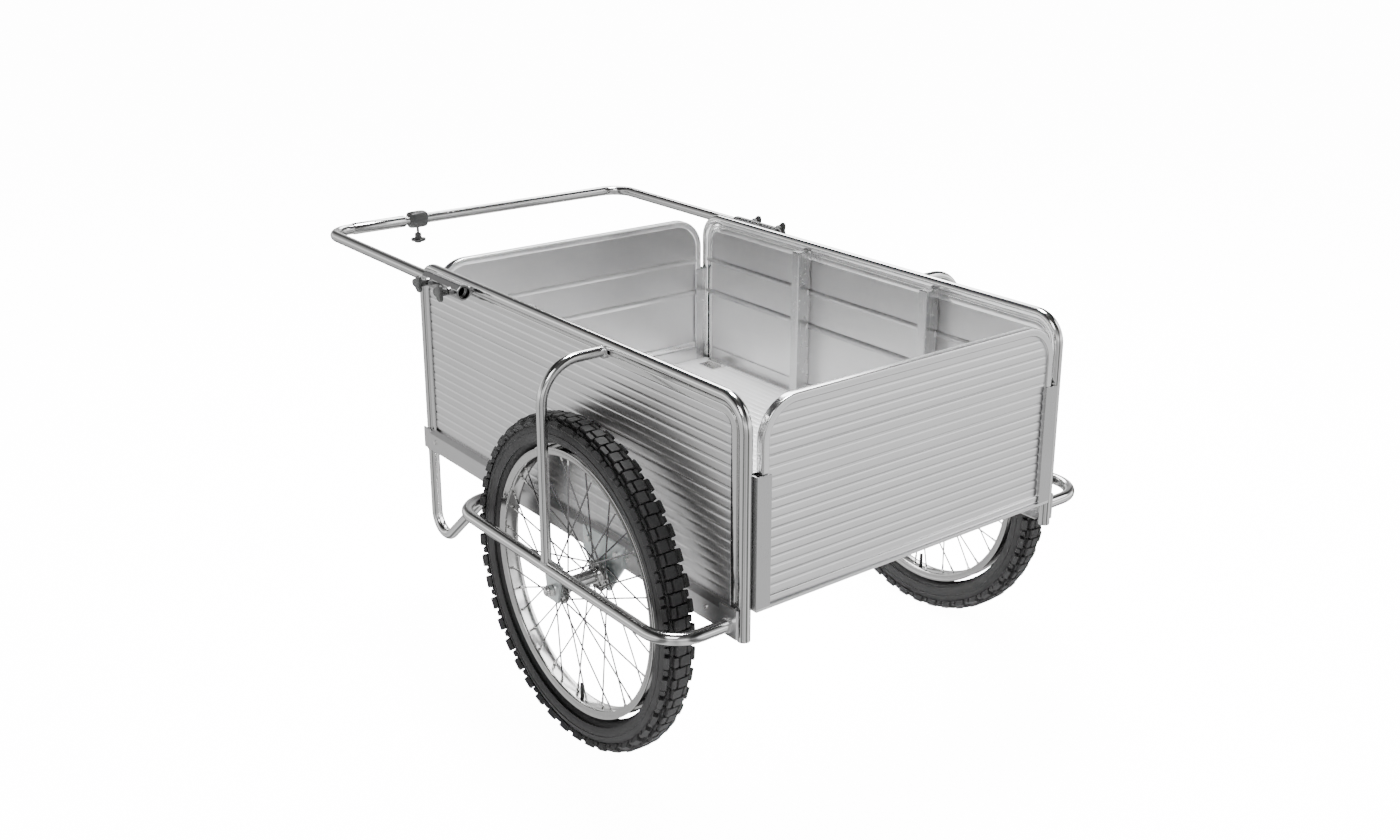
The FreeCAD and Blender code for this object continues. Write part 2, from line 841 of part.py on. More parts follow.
def clamp_knob():
    """The knob that hangs under the clamp block."""
    down = Rotation(Vector(1, 0, 0), 180)
    start = arm_z - spigot_r - 0.4
    reach = cell.block_high / 2 - spigot_r + cell.clamp_knob_drop
    return knob("handle_clamp_knob", reach, block_x, bar_y, start, down)


# ---------------------------------------------------------------- guards and legs


def guard(side_name, side):
    """The level tube that goes round outside the wheel from the bottom rail to the rear post."""
    start = side * rail_face_x.value
    out = side * guard_x.value
    z = guard_z.value
    rear_start = side * inner_plate_x.value
    points = [
        Vector(start, guard_front_y.value, z),
        Vector(out, guard_front_y.value, z),
        Vector(out, guard_rear_y.value, z),
        Vector(rear_start, guard_rear_y.value, z),
    ]
    radius, bend = cell.tube_r.value, cell.guard_bend_r.value
    return shaped(f"{side_name}_guard", bent_tube(points, bend, radius, cell.tube_wall.value))


def arch(side_name, side):
    """The tube from the top rail out over the wheel and down to the guard."""
    y = axle_y.value
    start = side * (cell.bed_half_width + cell.lip_thick / 2).value
    out = side * guard_x.value
    top = (rail_top_z - cell.arch_drop).value
    foot = guard_z.value + cell.tube_r.value * 0.7
    points = [Vector(start, y, top), Vector(out, y, top), Vector(out, y, foot)]
    shape = bent_tube(points, cell.arch_bend_r.value, cell.arch_r.value, cell.tube_wall.value)
    for x, z in ((side * cell.bed_half_width.value, rail_top_z.value), (out, guard_z.value)):
        run = Part.makeCylinder(cell.tube_r.value, 60, Vector(x, y - 30, z), Vector(0, 1, 0))
        shape = shape.cut(run)
    return shaped(f"{side_name}_arch", shape)


def guard_gussets():
    """The small plates between the rear ends of the guards and the bottom rails."""
    plates = []
    near, far = rail_face_x, inner_plate_x
    low_y = rear_inside_y - 12
    for side_name, side in SIDES:
        low_x, high_x = (near, far) if side > 0 else (-far, -near)
        low, high = (low_x, low_y, rail_z), (high_x, low_y + 36, rail_z + cell.rail_high + 4)
        plates.append(box(f"{side_name}_gusset", low, high))
    return group("guard_gussets", plates)


def leg(side_name, side):
    """The leg under the front post: down, round a bend and back up to the bottom rail."""
    x = side * cell.bed_half_width.value
    y, foot = front_post_y.value, (rail_z - cell.leg_drop).value
    roof = rail_z.value
    back = y - cell.leg_reach.value
    points = [Vector(x, y, roof), Vector(x, y, foot - 10), Vector(x, back, roof + 4)]
    path = rounded_path(points, cell.leg_bend_r.value)
    wire = Part.Wire(path)
    drop = (rail_z - cell.leg_drop).value - wire.BoundBox.ZMin
    points = [Vector(x, y, roof), Vector(x, y, foot - 10 + drop), Vector(x, back, roof + 14)]
    shape = bent_tube(points, cell.leg_bend_r.value, cell.tube_r.value, cell.tube_wall.value)
    roof_tool = Part.makeBox(60, cell.bed_length.value + 100, 60)
    roof_tool.translate(Vector(x - 30, cell.rear_post_y.value, roof))
    return shaped(f"{side_name}_leg", shape.cut(roof_tool))


# ---------------------------------------------------------------- wheels


def inner_bracket(side_name, side):
    """The plate bolted outside the bottom rail, which holds the inner end of the axle."""
    label = f"{side_name}_inner_bracket"
    owner = body(label)
    section = sketch_on(owner, "YZ_Plane", f"{label}_section")
    top = rail_roof_z - cell.wheel_r - 2
    outline(section, [
        (-54, rail_z - cell.wheel_r + 2),
        (-16, -24),
        (16, -24),
        (54, rail_z - cell.wheel_r + 2),
        (54, top),
        (-54, top),
    ])
    circle(section, 0, 0, cell.axle_r)
    pad(owner, section, cell.plate_thick, False, side < 0)
    return place(owner, side * rail_face_x, axle_y, cell.wheel_r)


def outer_bracket(side_name, side):
    """The plate under the guard tube, which holds the outer end of the axle."""
    label = f"{side_name}_outer_bracket"
    owner = body(label)
    section = sketch_on(owner, "YZ_Plane", f"{label}_section")
    top = guard_z - cell.wheel_r + 4
    outline(section, [(-26, top), (-13, -18), (13, -18), (26, top)])
    circle(section, 0, 0, cell.axle_r)
    pad(owner, section, cell.plate_thick, False, side < 0)
    return place(owner, side * outer_plate_x, axle_y, cell.wheel_r)


def axle(side_name, side):
    start = rail_face_x - 12
    end = outer_plate_x + cell.plate_thick + 10
    spindle = rod(
        f"{side_name}_spindle", cell.axle_r, end - start,
        side * start, axle_y, cell.wheel_r, outwards(side),
    )
    return keep(spindle, f"{side_name}_axle")


def axle_nuts(side_name, side):
    """A domed nut outside the guard, and a lock nut beside each bearing."""
    outer = outer_plate_x + cell.plate_thick
    gap = 0.6
    spots = (
        # name, radius, start, length, depth of the bore
        ("dome", 10, outer, 15, 10),
        ("inner_lock", 9, inner_plate_x, wheel_x - hub_half - gap - inner_plate_x, None),
        ("outer_lock", 9, wheel_x + hub_half + gap, outer_plate_x - wheel_x - hub_half - gap, None),
    )
    parts = []
    for name, radius, start, long, depth in spots:
        where = (side * start, axle_y, cell.wheel_r, outwards(side))
        solid = rod(f"{side_name}_{name}", radius, long, *where)
        bore = rod(f"{side_name}_{name}_bore", cell.axle_r, depth or long, *where)
        parts.append(cut(f"{side_name}_{name}_nut", solid, bore))
    return group(f"{side_name}_axle_nuts", parts)


def tyre(side_name, side):
    """The knobbly tyre as a closed ring with a bead each side."""
    half = cell.tyre_half
    crown = cell.wheel_r
    seat = rim_r - 4
    corners = [
        (-half * 0.45, crown),
        (half * 0.45, crown),
        (half * 0.86, crown - 7),
        (half, crown - 18),
        (half * 0.92, crown - 32),
        (cell.rim_half - 1, rim_r + 3),
        (cell.rim_half - 2, rim_r),
        (cell.rim_half - 2, seat),
        (cell.rim_half - 6, seat),
        (half * 0.72, crown - 32),
        (half * 0.8, crown - 20),
        (half * 0.6, crown - 12),
        (half * -0.6, crown - 12),
        (half * -0.8, crown - 20),
        (half * -0.72, crown - 32),
        (6 - cell.rim_half, seat),
        (2 - cell.rim_half, seat),
        (2 - cell.rim_half, rim_r),
        (1 - cell.rim_half, rim_r + 3),
        (half * -0.92, crown - 32),
        (-half, crown - 18),
        (half * -0.86, crown - 7),
    ]
    return turned(f"{side_name}_tyre", corners, side * wheel_x, axle_y, cell.wheel_r)


def rim(side_name, side):
    """The U-section rim with rolled edges."""
    half, outer, bed = cell.rim_half, rim_r, rim_bed_r
    corners = [
        (-half, outer),
        (-half, bed + 3),
        (-half + 5, bed),
        (half - 5, bed),
        (half, bed + 3),
        (half, outer),
        (half - 2, outer),
        (half - 2, bed + 5),
        (half - 6, bed + 2),
        (-half + 6, bed + 2),
        (-half + 2, bed + 5),
        (-half + 2, outer),
    ]
    owner = turned(f"{side_name}_rim", corners, side * wheel_x, axle_y, cell.wheel_r)
    valve_hole = circle(sketch_on(owner, "XY_Plane", f"{side_name}_valve_hole"), 0, 0, 3.4)
    feature = owner.newObject("PartDesign::Pocket", "ValveHole")
    feature.Profile = valve_hole
    feature.Type = "ThroughAll"
    return owner


def inner_tube(side_name, side):
    """The air tube inside the tyre, with its valve through the rim."""
    radius = cell.wheel_r.value - 14 - cell.tube_section_r.value
    section, wall = cell.tube_section_r.value, 1.5
    centre = Vector(side * wheel_x.value, axle_y.value, cell.wheel_r.value)
    ring = Part.makeTorus(radius, section, centre, Vector(1, 0, 0))
    hollow = Part.makeTorus(radius, section - wall, centre, Vector(1, 0, 0))
    start = Vector(centre.x, centre.y, centre.z - rim_bed_r.value + 22)
    valve = Part.makeCylinder(3, radius - rim_bed_r.value + 12, start, Vector(0, 0, -1))
    shape = Part.makeCompound([ring.cut(hollow), valve.cut(ring)])
    return shaped(f"{side_name}_inner_tube", shape)


def hub(side_name, side):
    """The hub shell: a slim barrel with two spoke flanges and a bearing cup at each end."""
    bore = cell.axle_r + 2.5
    cup = cell.hub_r - 2
    inner, outer = cell.flange_x, cell.flange_x + cell.flange_thick
    end = hub_half
    cup_start = end - 8
    corners = [
        (-end, cell.hub_r),
        (-outer, cell.hub_r),
        (-outer, cell.flange_r),
        (-inner, cell.flange_r),
        (-inner, cell.hub_r),
        (4 - inner, cell.hub_r - 3),
        (inner - 4, cell.hub_r - 3),
        (inner, cell.hub_r),
        (inner, cell.flange_r),
        (outer, cell.flange_r),
        (outer, cell.hub_r),
        (end, cell.hub_r),
        (end, cup),
        (cup_start, cup),
        (cup_start, bore),
        (-cup_start, bore),
        (-cup_start, cup),
        (-end, cup),
    ]
    return turned(f"{side_name}_hub", corners, side * wheel_x, axle_y, cell.wheel_r)


def bearings(side_name, side):
    """A bearing in each end of the hub, running on the axle."""
    parts = []
    outer = cell.hub_r - 2
    bore = cell.axle_r + cell.axle_gap
    y, z = axle_y, cell.wheel_r
    for name, offset in (("inner", -hub_half), ("outer", hub_half - 8)):
        x = side * wheel_x + offset
        ring = rod(f"{side_name}_{name}_race", outer, 8, x, y, z, ACROSS)
        hole = rod(f"{side_name}_{name}_race_bore", bore, 8, x, y, z, ACROSS)
        parts.append(cut(f"{side_name}_{name}_bearing", ring, hole))
    return group(f"{side_name}_bearings", parts)


def spokes(side_name, side):
    """Crossed wire spokes from the two flanges to the rim."""
    centre = Vector(side * wheel_x.value, axle_y.value, cell.wheel_r.value)
    count = int(cell.spoke_count.value)
    inner_r, outer_r = cell.flange_r.value - 4, rim_bed_r.value - 0.3
    flange = cell.flange_x.value + cell.flange_thick.value / 2
    step = 2 * math.pi / count
    wires = []
    for i in range(count):
        flank = 1 if i % 2 else -1
        lean = 1 if (i // 2) % 2 else -1
        rim_angle = (i + 0.5) * step
        hub_angle = rim_angle + lean * 3.1 * step * 2
        outside = flank * (flange + (3.6 if lean > 0 else -2.8))
        start = centre + polar(outside, inner_r, hub_angle)
        end = centre + polar(flank * 3, outer_r, rim_angle)
        run = end - start
        wires.append(Part.makeCylinder(cell.spoke_r.value, run.Length, start, run))
    return shaped(f"{side_name}_spokes", Part.makeCompound(wires))


def polar(x, radius, angle):
    return Vector(x, radius * math.sin(angle), radius * math.cos(angle))


# ---------------------------------------------------------------- fasteners


def frame_rivets():
    """Dome-headed rivets through the bottom rails into the cross rails."""
    parts = []
    z = rail_z + cell.rail_high / 2
    half = cell.cross_rail_wide / 2
    ys = [upright_rear_y, upright_front_y, rear_rail_y + half, front_inside_y - half]
    for side_name, side in SIDES:
        for i, y in enumerate(ys):
            name = f"{side_name}_rivet_{i}"
            parts.append(rod(name, 4, 1.8, side * rail_face_x, y, z, outwards(side)))
    return group("frame_rivets", parts)


def bracket_bolts():
    """The bolts that hold the inner axle brackets to the bottom rails."""
    parts = []
    z = rail_z + cell.rail_high / 2
    for side_name, side in SIDES:
        for i, offset in enumerate((-38, 38)):
            name, y = f"{side_name}_bolt_{i}", axle_y + offset
            parts.append(rod(name, 6, 4, side * inner_plate_x, y, z, outwards(side)))
    return group("bracket_bolts", parts)


def build():
    for side_name, side in SIDES:
        side_hoop(side_name, side)
        side_planks(side_name, side)
        bottom_rail(side_name, side)
        side_uprights(side_name, side)
        floor_strip(side_name, side)
        sleeve(side_name, side)
        sleeve_knobs(side_name, side)
        guard(side_name, side)
        arch(side_name, side)
        leg(side_name, side)
        inner_bracket(side_name, side)
        outer_bracket(side_name, side)
        axle(side_name, side)
        axle_nuts(side_name, side)
        tyre(side_name, side)
        rim(side_name, side)
        inner_tube(side_name, side)
        hub(side_name, side)
        bearings(side_name, side)
        spokes(side_name, side)
    guard_gussets()
    floor_planks()
    floor_cross_rails()
    end_sills()
    corner_hinges()
    corner_channels("rear", rear_board_y)
    corner_channels("front", front_board_y)
    board_frame("tailgate_frame", rear_board_y, board_foot_z)
    board_planks("tailgate_planks", rear_board_y, board_foot_z, 1)
    board_frame("front_board_frame", front_board_y, sill_z)
    board_planks("front_board_planks", front_board_y, sill_z, -1)
    handle_left()
    handle_right()
    handle_spigot()
    clamp_block()
    clamp_knob()
    frame_rivets()
    bracket_bolts()


def check_and_write():
    doc.recompute()
    for thing in doc.Objects:
        bad = [word for word in thing.State if word in ("Invalid", "Error")]
        if bad:
            raise RuntimeError(f"{thing.Label}: {bad}")
    for node in nodes:
        shape = node.Shape
        if shape.isNull() or not shape.isValid() or not shape.Solids:
            raise RuntimeError(f"{node.Label}: its shape is empty or not valid")
    os.makedirs("parts", exist_ok=True)
    for node in nodes:
        node.Shape.exportStep(f"parts/{node.Label}.step")
    print(len(nodes), "nodes written")


build()
check_and_write()
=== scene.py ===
import math
import random

import bmesh
import bpy
from mathutils import Matrix, Vector


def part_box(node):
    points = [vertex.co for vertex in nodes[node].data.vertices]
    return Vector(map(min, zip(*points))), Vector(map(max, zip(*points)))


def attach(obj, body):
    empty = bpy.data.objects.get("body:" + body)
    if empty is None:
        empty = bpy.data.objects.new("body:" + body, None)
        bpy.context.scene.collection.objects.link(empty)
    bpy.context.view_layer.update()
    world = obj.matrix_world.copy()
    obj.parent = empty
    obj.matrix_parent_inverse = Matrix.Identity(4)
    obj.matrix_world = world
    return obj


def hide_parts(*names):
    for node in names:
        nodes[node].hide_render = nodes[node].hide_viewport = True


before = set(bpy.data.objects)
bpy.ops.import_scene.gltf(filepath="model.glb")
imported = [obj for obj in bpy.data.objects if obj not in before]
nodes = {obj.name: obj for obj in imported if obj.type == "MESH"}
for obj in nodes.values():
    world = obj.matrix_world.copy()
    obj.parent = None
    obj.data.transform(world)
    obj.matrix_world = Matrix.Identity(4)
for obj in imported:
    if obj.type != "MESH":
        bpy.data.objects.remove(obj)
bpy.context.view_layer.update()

random.seed(7)

MM = 0.001
SIDES = (("left", -1), ("right", 1))
X, Y, Z = Vector((1, 0, 0)), Vector((0, 1, 0)), Vector((0, 0, 1))
plank_low, plank_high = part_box("right_side_planks")


# ------------------------------------------------------------ shader maths


class Value:
    """A number socket that takes part in Python expressions."""

    def __init__(self, shader, socket):
        self.shader = shader
        self.socket = socket

    def maths(self, operation, *others):
        sockets = {i: other for i, other in enumerate((self, *others))}
        return self.shader.node("ShaderNodeMath", {"operation": operation}, sockets)

    def __add__(self, other):
        return self.maths("ADD", other)

    def __sub__(self, other):
        return self.maths("SUBTRACT", other)

    def __mul__(self, other):
        return self.maths("MULTIPLY", other)

    def __truediv__(self, other):
        return self.maths("DIVIDE", other)

    def __rsub__(self, other):
        return self.maths("MULTIPLY", -1) + other

    __radd__ = __add__
    __rmul__ = __mul__

    def above(self, limit):
        return self.maths("GREATER_THAN", limit)

    def power(self, exponent):
        return self.maths("POWER", exponent)

    def held(self):
        """Kept between 0 and 1."""
        return self.maths("MINIMUM", 1).maths("MAXIMUM", 0)


class Shader:
    """The node tree of one material, with its Principled shader."""

    def __init__(self, name):
        self.material = bpy.data.materials.new(name)
        self.material.use_nodes = True
        self.tree = self.material.node_tree
        self.surface = self.tree.nodes["Principled BSDF"]
        self.place = self.node("ShaderNodeTexCoord", output="Object")

    @classmethod
    def of_tree(cls, tree):
        """The same maths on a tree that isn't a material's."""
        shader = cls.__new__(cls)
        shader.tree = tree
        return shader

    def node(self, kind, settings=None, inputs=None, output=0):
        """Adds a node: its settings first, then the values or links of its sockets."""
        made = self.tree.nodes.new(kind)
        for name, value in (settings or {}).items():
            setattr(made, name, value)
        for name, value in (inputs or {}).items():
            self.feed(made.inputs[name], value)
        return Value(self, made.outputs[output])

    def ramp(self, stops, amount):
        """Grey levels between (position, level) stops."""
        levels = self.node("ShaderNodeValToRGB", None, {0: amount})
        elements = levels.socket.node.color_ramp.elements
        while len(elements) < len(stops):
            elements.new(0.5)
        for element, (position, level) in zip(elements, stops):
            element.position = position
            element.color = (level, level, level, 1)
        return levels

    def feed(self, socket, value):
        if isinstance(value, Value):
            self.tree.links.new(value.socket, socket)
        else:
            socket.default_value = value

    def set(self, **inputs):
        """Feeds the Principled shader. Underscores stand for spaces."""
        for name, value in inputs.items():
            if isinstance(value, tuple) and len(value) == 3:
                value = (*value, 1)
            self.feed(self.surface.inputs[name.replace("_", " ")], value)

    def noise(self, scale, detail=3, stretch=(1, 1, 1)):
        spread = self.node("ShaderNodeMapping", None, {"Vector": self.place, "Scale": stretch})
        return self.node("ShaderNodeTexNoise", None, {"Vector": spread, "Scale": scale, "Detail": detail})

    def cells(self, scale, output="Distance"):
        return self.node("ShaderNodeTexVoronoi", None, {"Vector": self.place, "Scale": scale}, output)

    def dot(self, first, second):
        return self.node("ShaderNodeVectorMath", {"operation": "DOT_PRODUCT"}, {0: first, 1: second}, "Value")

    def inward(self):
        """How far up the bed a face is, from 0 to 1, where it looks towards the cart's middle: the mask of
        the painted shade on the inner faces.
        """
        flat = self.node("ShaderNodeVectorMath", {"operation": "MULTIPLY"}, {0: self.place, 1: (1, 1, 0)})
        normal = self.node("ShaderNodeTexCoord", output="Normal")
        outward = self.dot(flat, normal)
        height = self.node("ShaderNodeSeparateXYZ", None, {0: self.place}, "Z")
        rise = ((height - plank_low.z) / (plank_high.z - plank_low.z)).held()
        return (1 - outward.above(-0.02)) * (rise * 0.8 + 0.2)

    def blend(self, amount, first, second):
        """A colour between two colours."""
        colours = {"Factor": amount, 6: first, 7: second}
        return self.node("ShaderNodeMix", {"data_type": "RGBA"}, colours, 2)

    def bumps(self, height, strength, distance):
        bump = {"Height": height, "Strength": strength, "Distance": distance}
        self.set(Normal=self.node("ShaderNodeBump", None, bump))


def grey(level, tint=(1, 1, 1)):
    return tuple(level * part for part in tint) + (1,)


def drawn_tube(name, stretch, level=0.84, gloss=0.12):
    """Bright drawn aluminium tube with fine draw marks along it and a few dull patches."""
    shader = Shader(name)
    marks = shader.noise(900, 2, stretch)
    patches = shader.noise(14, 4)
    shader.set(
        Base_Color=shader.blend(patches, grey(level - 0.05, (1, 1, 0.99)), grey(level + 0.04)),
        Metallic=1.0,
        Roughness=gloss + marks * 0.06 + patches * 0.05 - 0.04,
    )
    shader.bumps(marks, 0.05, 0.0002)
    return shader.material


def satin_extrusion(name, stretch, level=0.8, gloss=0.36, metal=1.0, painted_inside_shade=0.0):
    """Extruded aluminium: die lines one way, faint clouding and small scuffs.

    The last argument sets how much painted shade darkens the faces towards the middle of the cart, most at
    the top of the bed.
    """
    shader = Shader(name)
    lines = shader.noise(700, 3, stretch)
    clouds = shader.noise(9, 5)
    scuffs = shader.noise(160, 2).above(0.68)
    tone = (lines * 0.45 + clouds * 0.55).held()
    colour = shader.blend(tone, grey(level - 0.07), grey(level + 0.05, (1, 1, 1.01)))
    if painted_inside_shade:
        # painted shade: faces towards the cart's middle are blended towards dark grey, more towards the top
        # of the bed
        colour = shader.blend(shader.inward() * painted_inside_shade, colour, grey(0.12))
    shader.set(
        Base_Color=colour,
        Metallic=metal,
        Roughness=gloss + lines * 0.1 + scuffs * 0.05 - 0.05,
    )
    shader.bumps(lines, 0.04, 0.0002)
    return shader.material


def chrome(name, gloss=0.07, level=0.84):
    """Bright plating with the faint waviness of rolled steel."""
    shader = Shader(name)
    waves = shader.noise(45, 2)
    dust = shader.noise(260, 3)
    shader.set(
        Base_Color=shader.blend(dust, grey(level - 0.14, (1, 0.99, 0.97)), grey(level)),
        Metallic=1.0,
        Roughness=gloss + dust * 0.08,
    )
    shader.bumps(waves, 0.03, 0.0003)
    return shader.material


def zinc(name):
    """Blue-white zinc plating, clouded in crystals."""
    shader = Shader(name)
    crystals = shader.cells(260, "Color")
    clouds = shader.noise(40, 4)
    shader.set(
        Base_Color=shader.blend(clouds, grey(0.84, (0.94, 1, 1)), grey(0.95, (0.94, 1, 1))),
        Metallic=1.0,
        Roughness=0.3 + shader.node("ShaderNodeSeparateColor", None, {"Color": crystals}) * 0.12,
    )
    shader.bumps(clouds, 0.04, 0.0002)
    return shader.material


def tyre_rubber(name):
    """Black rubber with a moulded grain and a little grey dust."""
    shader = Shader(name)
    grain = shader.noise(1300, 2)
    dust = shader.noise(22, 6)
    shader.set(
        Base_Color=shader.blend(dust, grey(0.003), grey(0.008, (1, 1, 1.03))),
        Roughness=0.52 + dust * 0.2 + grain * 0.08,
        Specular_IOR_Level=0.35,
    )
    shader.bumps(grain, 0.25, 0.0004)
    return shader.material


def black_plastic(name):
    """Moulded black plastic with a fine grain."""
    shader = Shader(name)
    grain = shader.cells(1500)
    wear = shader.noise(60, 4)
    shader.set(
        Base_Color=shader.blend(wear, grey(0.008), grey(0.02, (0.97, 1, 0.99))),
        Roughness=0.36 + wear * 0.14,
        Specular_IOR_Level=0.4,
    )
    shader.bumps(grain, 0.12, 0.0003)
    return shader.material


def weld_metal(name):
    """A bright rippled weld with a dull edge."""
    shader = Shader(name)
    grit = shader.noise(900, 4)
    shader.set(
        Base_Color=shader.blend(grit, grey(0.6), grey(0.86)),
        Metallic=1.0,
        Roughness=0.3 + grit * 0.2,
    )
    shader.bumps(grit, 0.3, 0.0004)
    return shader.material


ALONG_X, ALONG_Y, ALONG_Z = (0.02, 1, 1), (1, 0.02, 1), (1, 1, 0.02)

TUBE = drawn_tube("bright drawn tube", (1, 1, 1), 0.76)
HANDLE_TUBE = drawn_tube("bright handle tube", (1, 1, 1), 0.6, 0.15)
# the side and board planks carry painted shade on their inner faces, darker towards the top of the bed
PLANK = satin_extrusion("ribbed plank", ALONG_Y, 0.82, 0.33, painted_inside_shade=0.5)
BOARD_PLANK = satin_extrusion("ribbed board plank", ALONG_X, 0.86, 0.32, painted_inside_shade=0.5)
FLOOR_PLANK = satin_extrusion("ribbed floor plank", ALONG_Y, 0.95, 0.42, 0.5)
RAIL = satin_extrusion("extruded rail", ALONG_Y, 0.66, 0.32)
UPRIGHT = satin_extrusion("extruded upright", ALONG_Z, 0.55, 0.26)
SLEEVE = satin_extrusion("handle sleeve", ALONG_Y, 0.42, 0.2)
EDGING = satin_extrusion("board edging", (1, 1, 1), 0.84, 0.2)
CHROME = chrome("chromed rim", 0.12, 0.62)
WIRE = chrome("plated spoke wire", 0.16, 0.3)
NUT = chrome("bright steel fittings", 0.2)
ZINC = zinc("zinc plated bracket")
RUBBER = tyre_rubber("knobbly tyre rubber")
PLASTIC = black_plastic("moulded black plastic")
WELD = weld_metal("weld bead")


# ------------------------------------------------------------ mesh makers


class Form:
    """Points and faces that grow into one mesh."""

    def __init__(self):
        self.points = []
        self.faces = []

    def loft(self, loops, closed=True, ring=False, caps=True):
        """Skins loops of equal length, one after the other."""
        first = len(self.points)
        count = len(loops[0])
        for loop in loops:
            self.points.extend(Vector(point) for point in loop)
        spans = len(loops) if ring else len(loops) - 1
        around = count if closed else count - 1
        for i in range(spans):
            a, b = first + i * count, first + (i + 1) % len(loops) * count
            for j in range(around):
                k = (j + 1) % count
                self.faces.append((a + j, a + k, b + k, b + j))
        if caps and closed and not ring:
            self.faces.append(tuple(first + j for j in reversed(range(count))))
            last = first + (len(loops) - 1) * count
            self.faces.append(tuple(last + j for j in range(count)))
        return self

    def block(self, low, high, bevel=0.0):
        """A box between two corners, its upright and level edges eased by a bevel."""
        low, high = Vector(low), Vector(high)
        loops = []
        for z, inset in ((low.z, bevel), (low.z + bevel, 0), (high.z - bevel, 0), (high.z, bevel)):
            across = (low.x + inset, high.x - inset)
            along = (low.y + inset, high.y - inset)
            corners = cut_corners(across, along, max(bevel - inset, 0))
            loops.append([(x, y, z) for x, y in corners])
        return self.loft(loops)

    def sweep(self, path, section, side=None, ring=False, caps=True):
        """Carries a section of (across, up) pairs along a path, keeping it level with side if given."""
        loops = []
        across = None
        for i, point in enumerate(path):
            ahead = heading(path, i, ring)
            if side is not None:
                across = side
            elif across is None:
                across = ahead.orthogonal()
            across = (across - ahead * across.dot(ahead)).normalized()
            up = ahead.cross(across)
            loops.append([point + across * a + up * b for a, b in section])
        return self.loft(loops, ring=ring, caps=caps)

    def lathe(self, profile, centre, axis=X, steps=72, closed=True):
        """Turns (along, radius) pairs about an axis through centre."""
        across = axis.orthogonal().normalized()
        up = axis.cross(across)
        loops = []
        for i in range(steps):
            angle = 2 * math.pi * i / steps
            out = across * math.cos(angle) + up * math.sin(angle)
            loops.append([centre + axis * a + out * r for a, r in profile])
        return self.loft(loops, closed=closed, ring=True)

    def rod(self, start, end, radius, sides=12):
        """A plain round bar with eased ends."""
        start, end = Vector(start), Vector(end)
        ahead = (end - start).normalized()
        ease = min(radius * 0.25, (end - start).length * 0.2)
        stations = (
            (start, radius - ease),
            (start + ahead * ease, radius),
            (end - ahead * ease, radius),
            (end, radius - ease),
        )
        across = ahead.orthogonal().normalized()
        up = ahead.cross(across)
        turns = [2 * math.pi * j / sides for j in range(sides)]
        loops = [[p + (across * math.cos(t) + up * math.sin(t)) * r for t in turns] for p, r in stations]
        return self.loft(loops)

    def piece(self, name, body, material, slot, stands_for=(), sharp=32):
        """Makes the mesh, smooth but for its sharp edges, and fixes it to a body."""
        mesh = bpy.data.meshes.new(name)
        mesh.from_pydata([tuple(point) for point in self.points], [], self.faces)
        mesh.validate()
        mesh.materials.append(material)
        thing = bpy.data.objects.new(name, mesh)
        bpy.context.scene.collection.objects.link(thing)
        mend_normals(mesh)
        mesh.shade_smooth()
        mesh.set_sharp_from_angle(angle=math.radians(sharp))
        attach(thing, body)
        if stands_for:
            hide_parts(*stands_for)
        return thing


def mend_normals(mesh):
    work = bmesh.new()
    work.from_mesh(mesh)
    bmesh.ops.recalc_face_normals(work, faces=work.faces)
    work.to_mesh(mesh)
    work.free()


def heading(path, i, ring):
    last = len(path) - 1
    before = path[i - 1] if i or ring else path[0]
    after = path[(i + 1) % len(path)] if i < last or ring else path[last]
    return (after - before).normalized()


def cut_corners(across, along, cut):
    """A rectangle between two pairs of limits, its corners cut off."""
    a, b = across
    c, d = along
    foot = [(a + cut, c), (b - cut, c), (b, c + cut), (b, d - cut)]
    return foot + [(b - cut, d), (a + cut, d), (a, d - cut), (a, c + cut)]


def in_mm(*pairs):
    """Pairs of millimetres as pairs of metres."""
    return [(a * MM, b * MM) for a, b in pairs]


def circle_of(radius, count=20):
    turns = [2 * math.pi * i / count for i in range(count)]
    return [(radius * math.cos(t), radius * math.sin(t)) for t in turns]


def rounded_box(width, height, radius, steps=3):
    """The outline of a rectangle with round corners, about its middle."""
    outline = []
    spots = ((1, 1, 0), (-1, 1, 90), (-1, -1, 180), (1, -1, 270))
    for sx, sy, start in spots:
        centre = (sx * (width / 2 - radius), sy * (height / 2 - radius))
        for i in range(steps + 1):
            t = math.radians(start + 90 * i / steps)
            outline.append((centre[0] + radius * math.cos(t), centre[1] + radius * math.sin(t)))
    return outline


def bent_path(corners, radius, steps=12, ring=False):
    """Points along straight runs joined by round bends."""
    corners = [Vector(corner) for corner in corners]
    count = len(corners)
    path = [] if ring else [corners[0]]
    for i in range(0 if ring else 1, count if ring else count - 1):
        corner = corners[i]
        back = (corners[i - 1] - corner).normalized()
        ahead = (corners[(i + 1) % count] - corner).normalized()
        half = back.angle(ahead) / 2
        reach = radius / math.tan(half)
        middle = corner + (back + ahead).normalized() * radius / math.sin(half)
        start, end = corner + back * reach - middle, corner + ahead * reach - middle
        turn = start.rotation_difference(end)
        for j in range(steps + 1):
            step = Matrix.Rotation(turn.angle * j / steps, 3, turn.axis)
            path.append(middle + step @ start)
    if not ring:
        path.append(corners[-1])
    return path


def tube(form, path, radius, wall=1.5 * MM, sides=24):
    """A hollow tube: its outer skin and bore, with rims at the ends."""
    outer, inner = circle_of(radius, sides), circle_of(radius - wall, sides)
    skin, bore = [], []
    across = None
    for i, point in enumerate(path):
        ahead = heading(path, i, False)
        across = ahead.orthogonal() if across is None else across
        across = (across - ahead * across.dot(ahead)).normalized()
        up = ahead.cross(across)
        skin.append([point + across * a + up * b for a, b in outer])
        bore.append([point + across * a + up * b for a, b in inner])
    return form.loft(skin + bore[::-1], ring=True)


# ------------------------------------------------------------ sizes from the frame


def mid(node):
    low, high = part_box(node)
    return (low + high) / 2


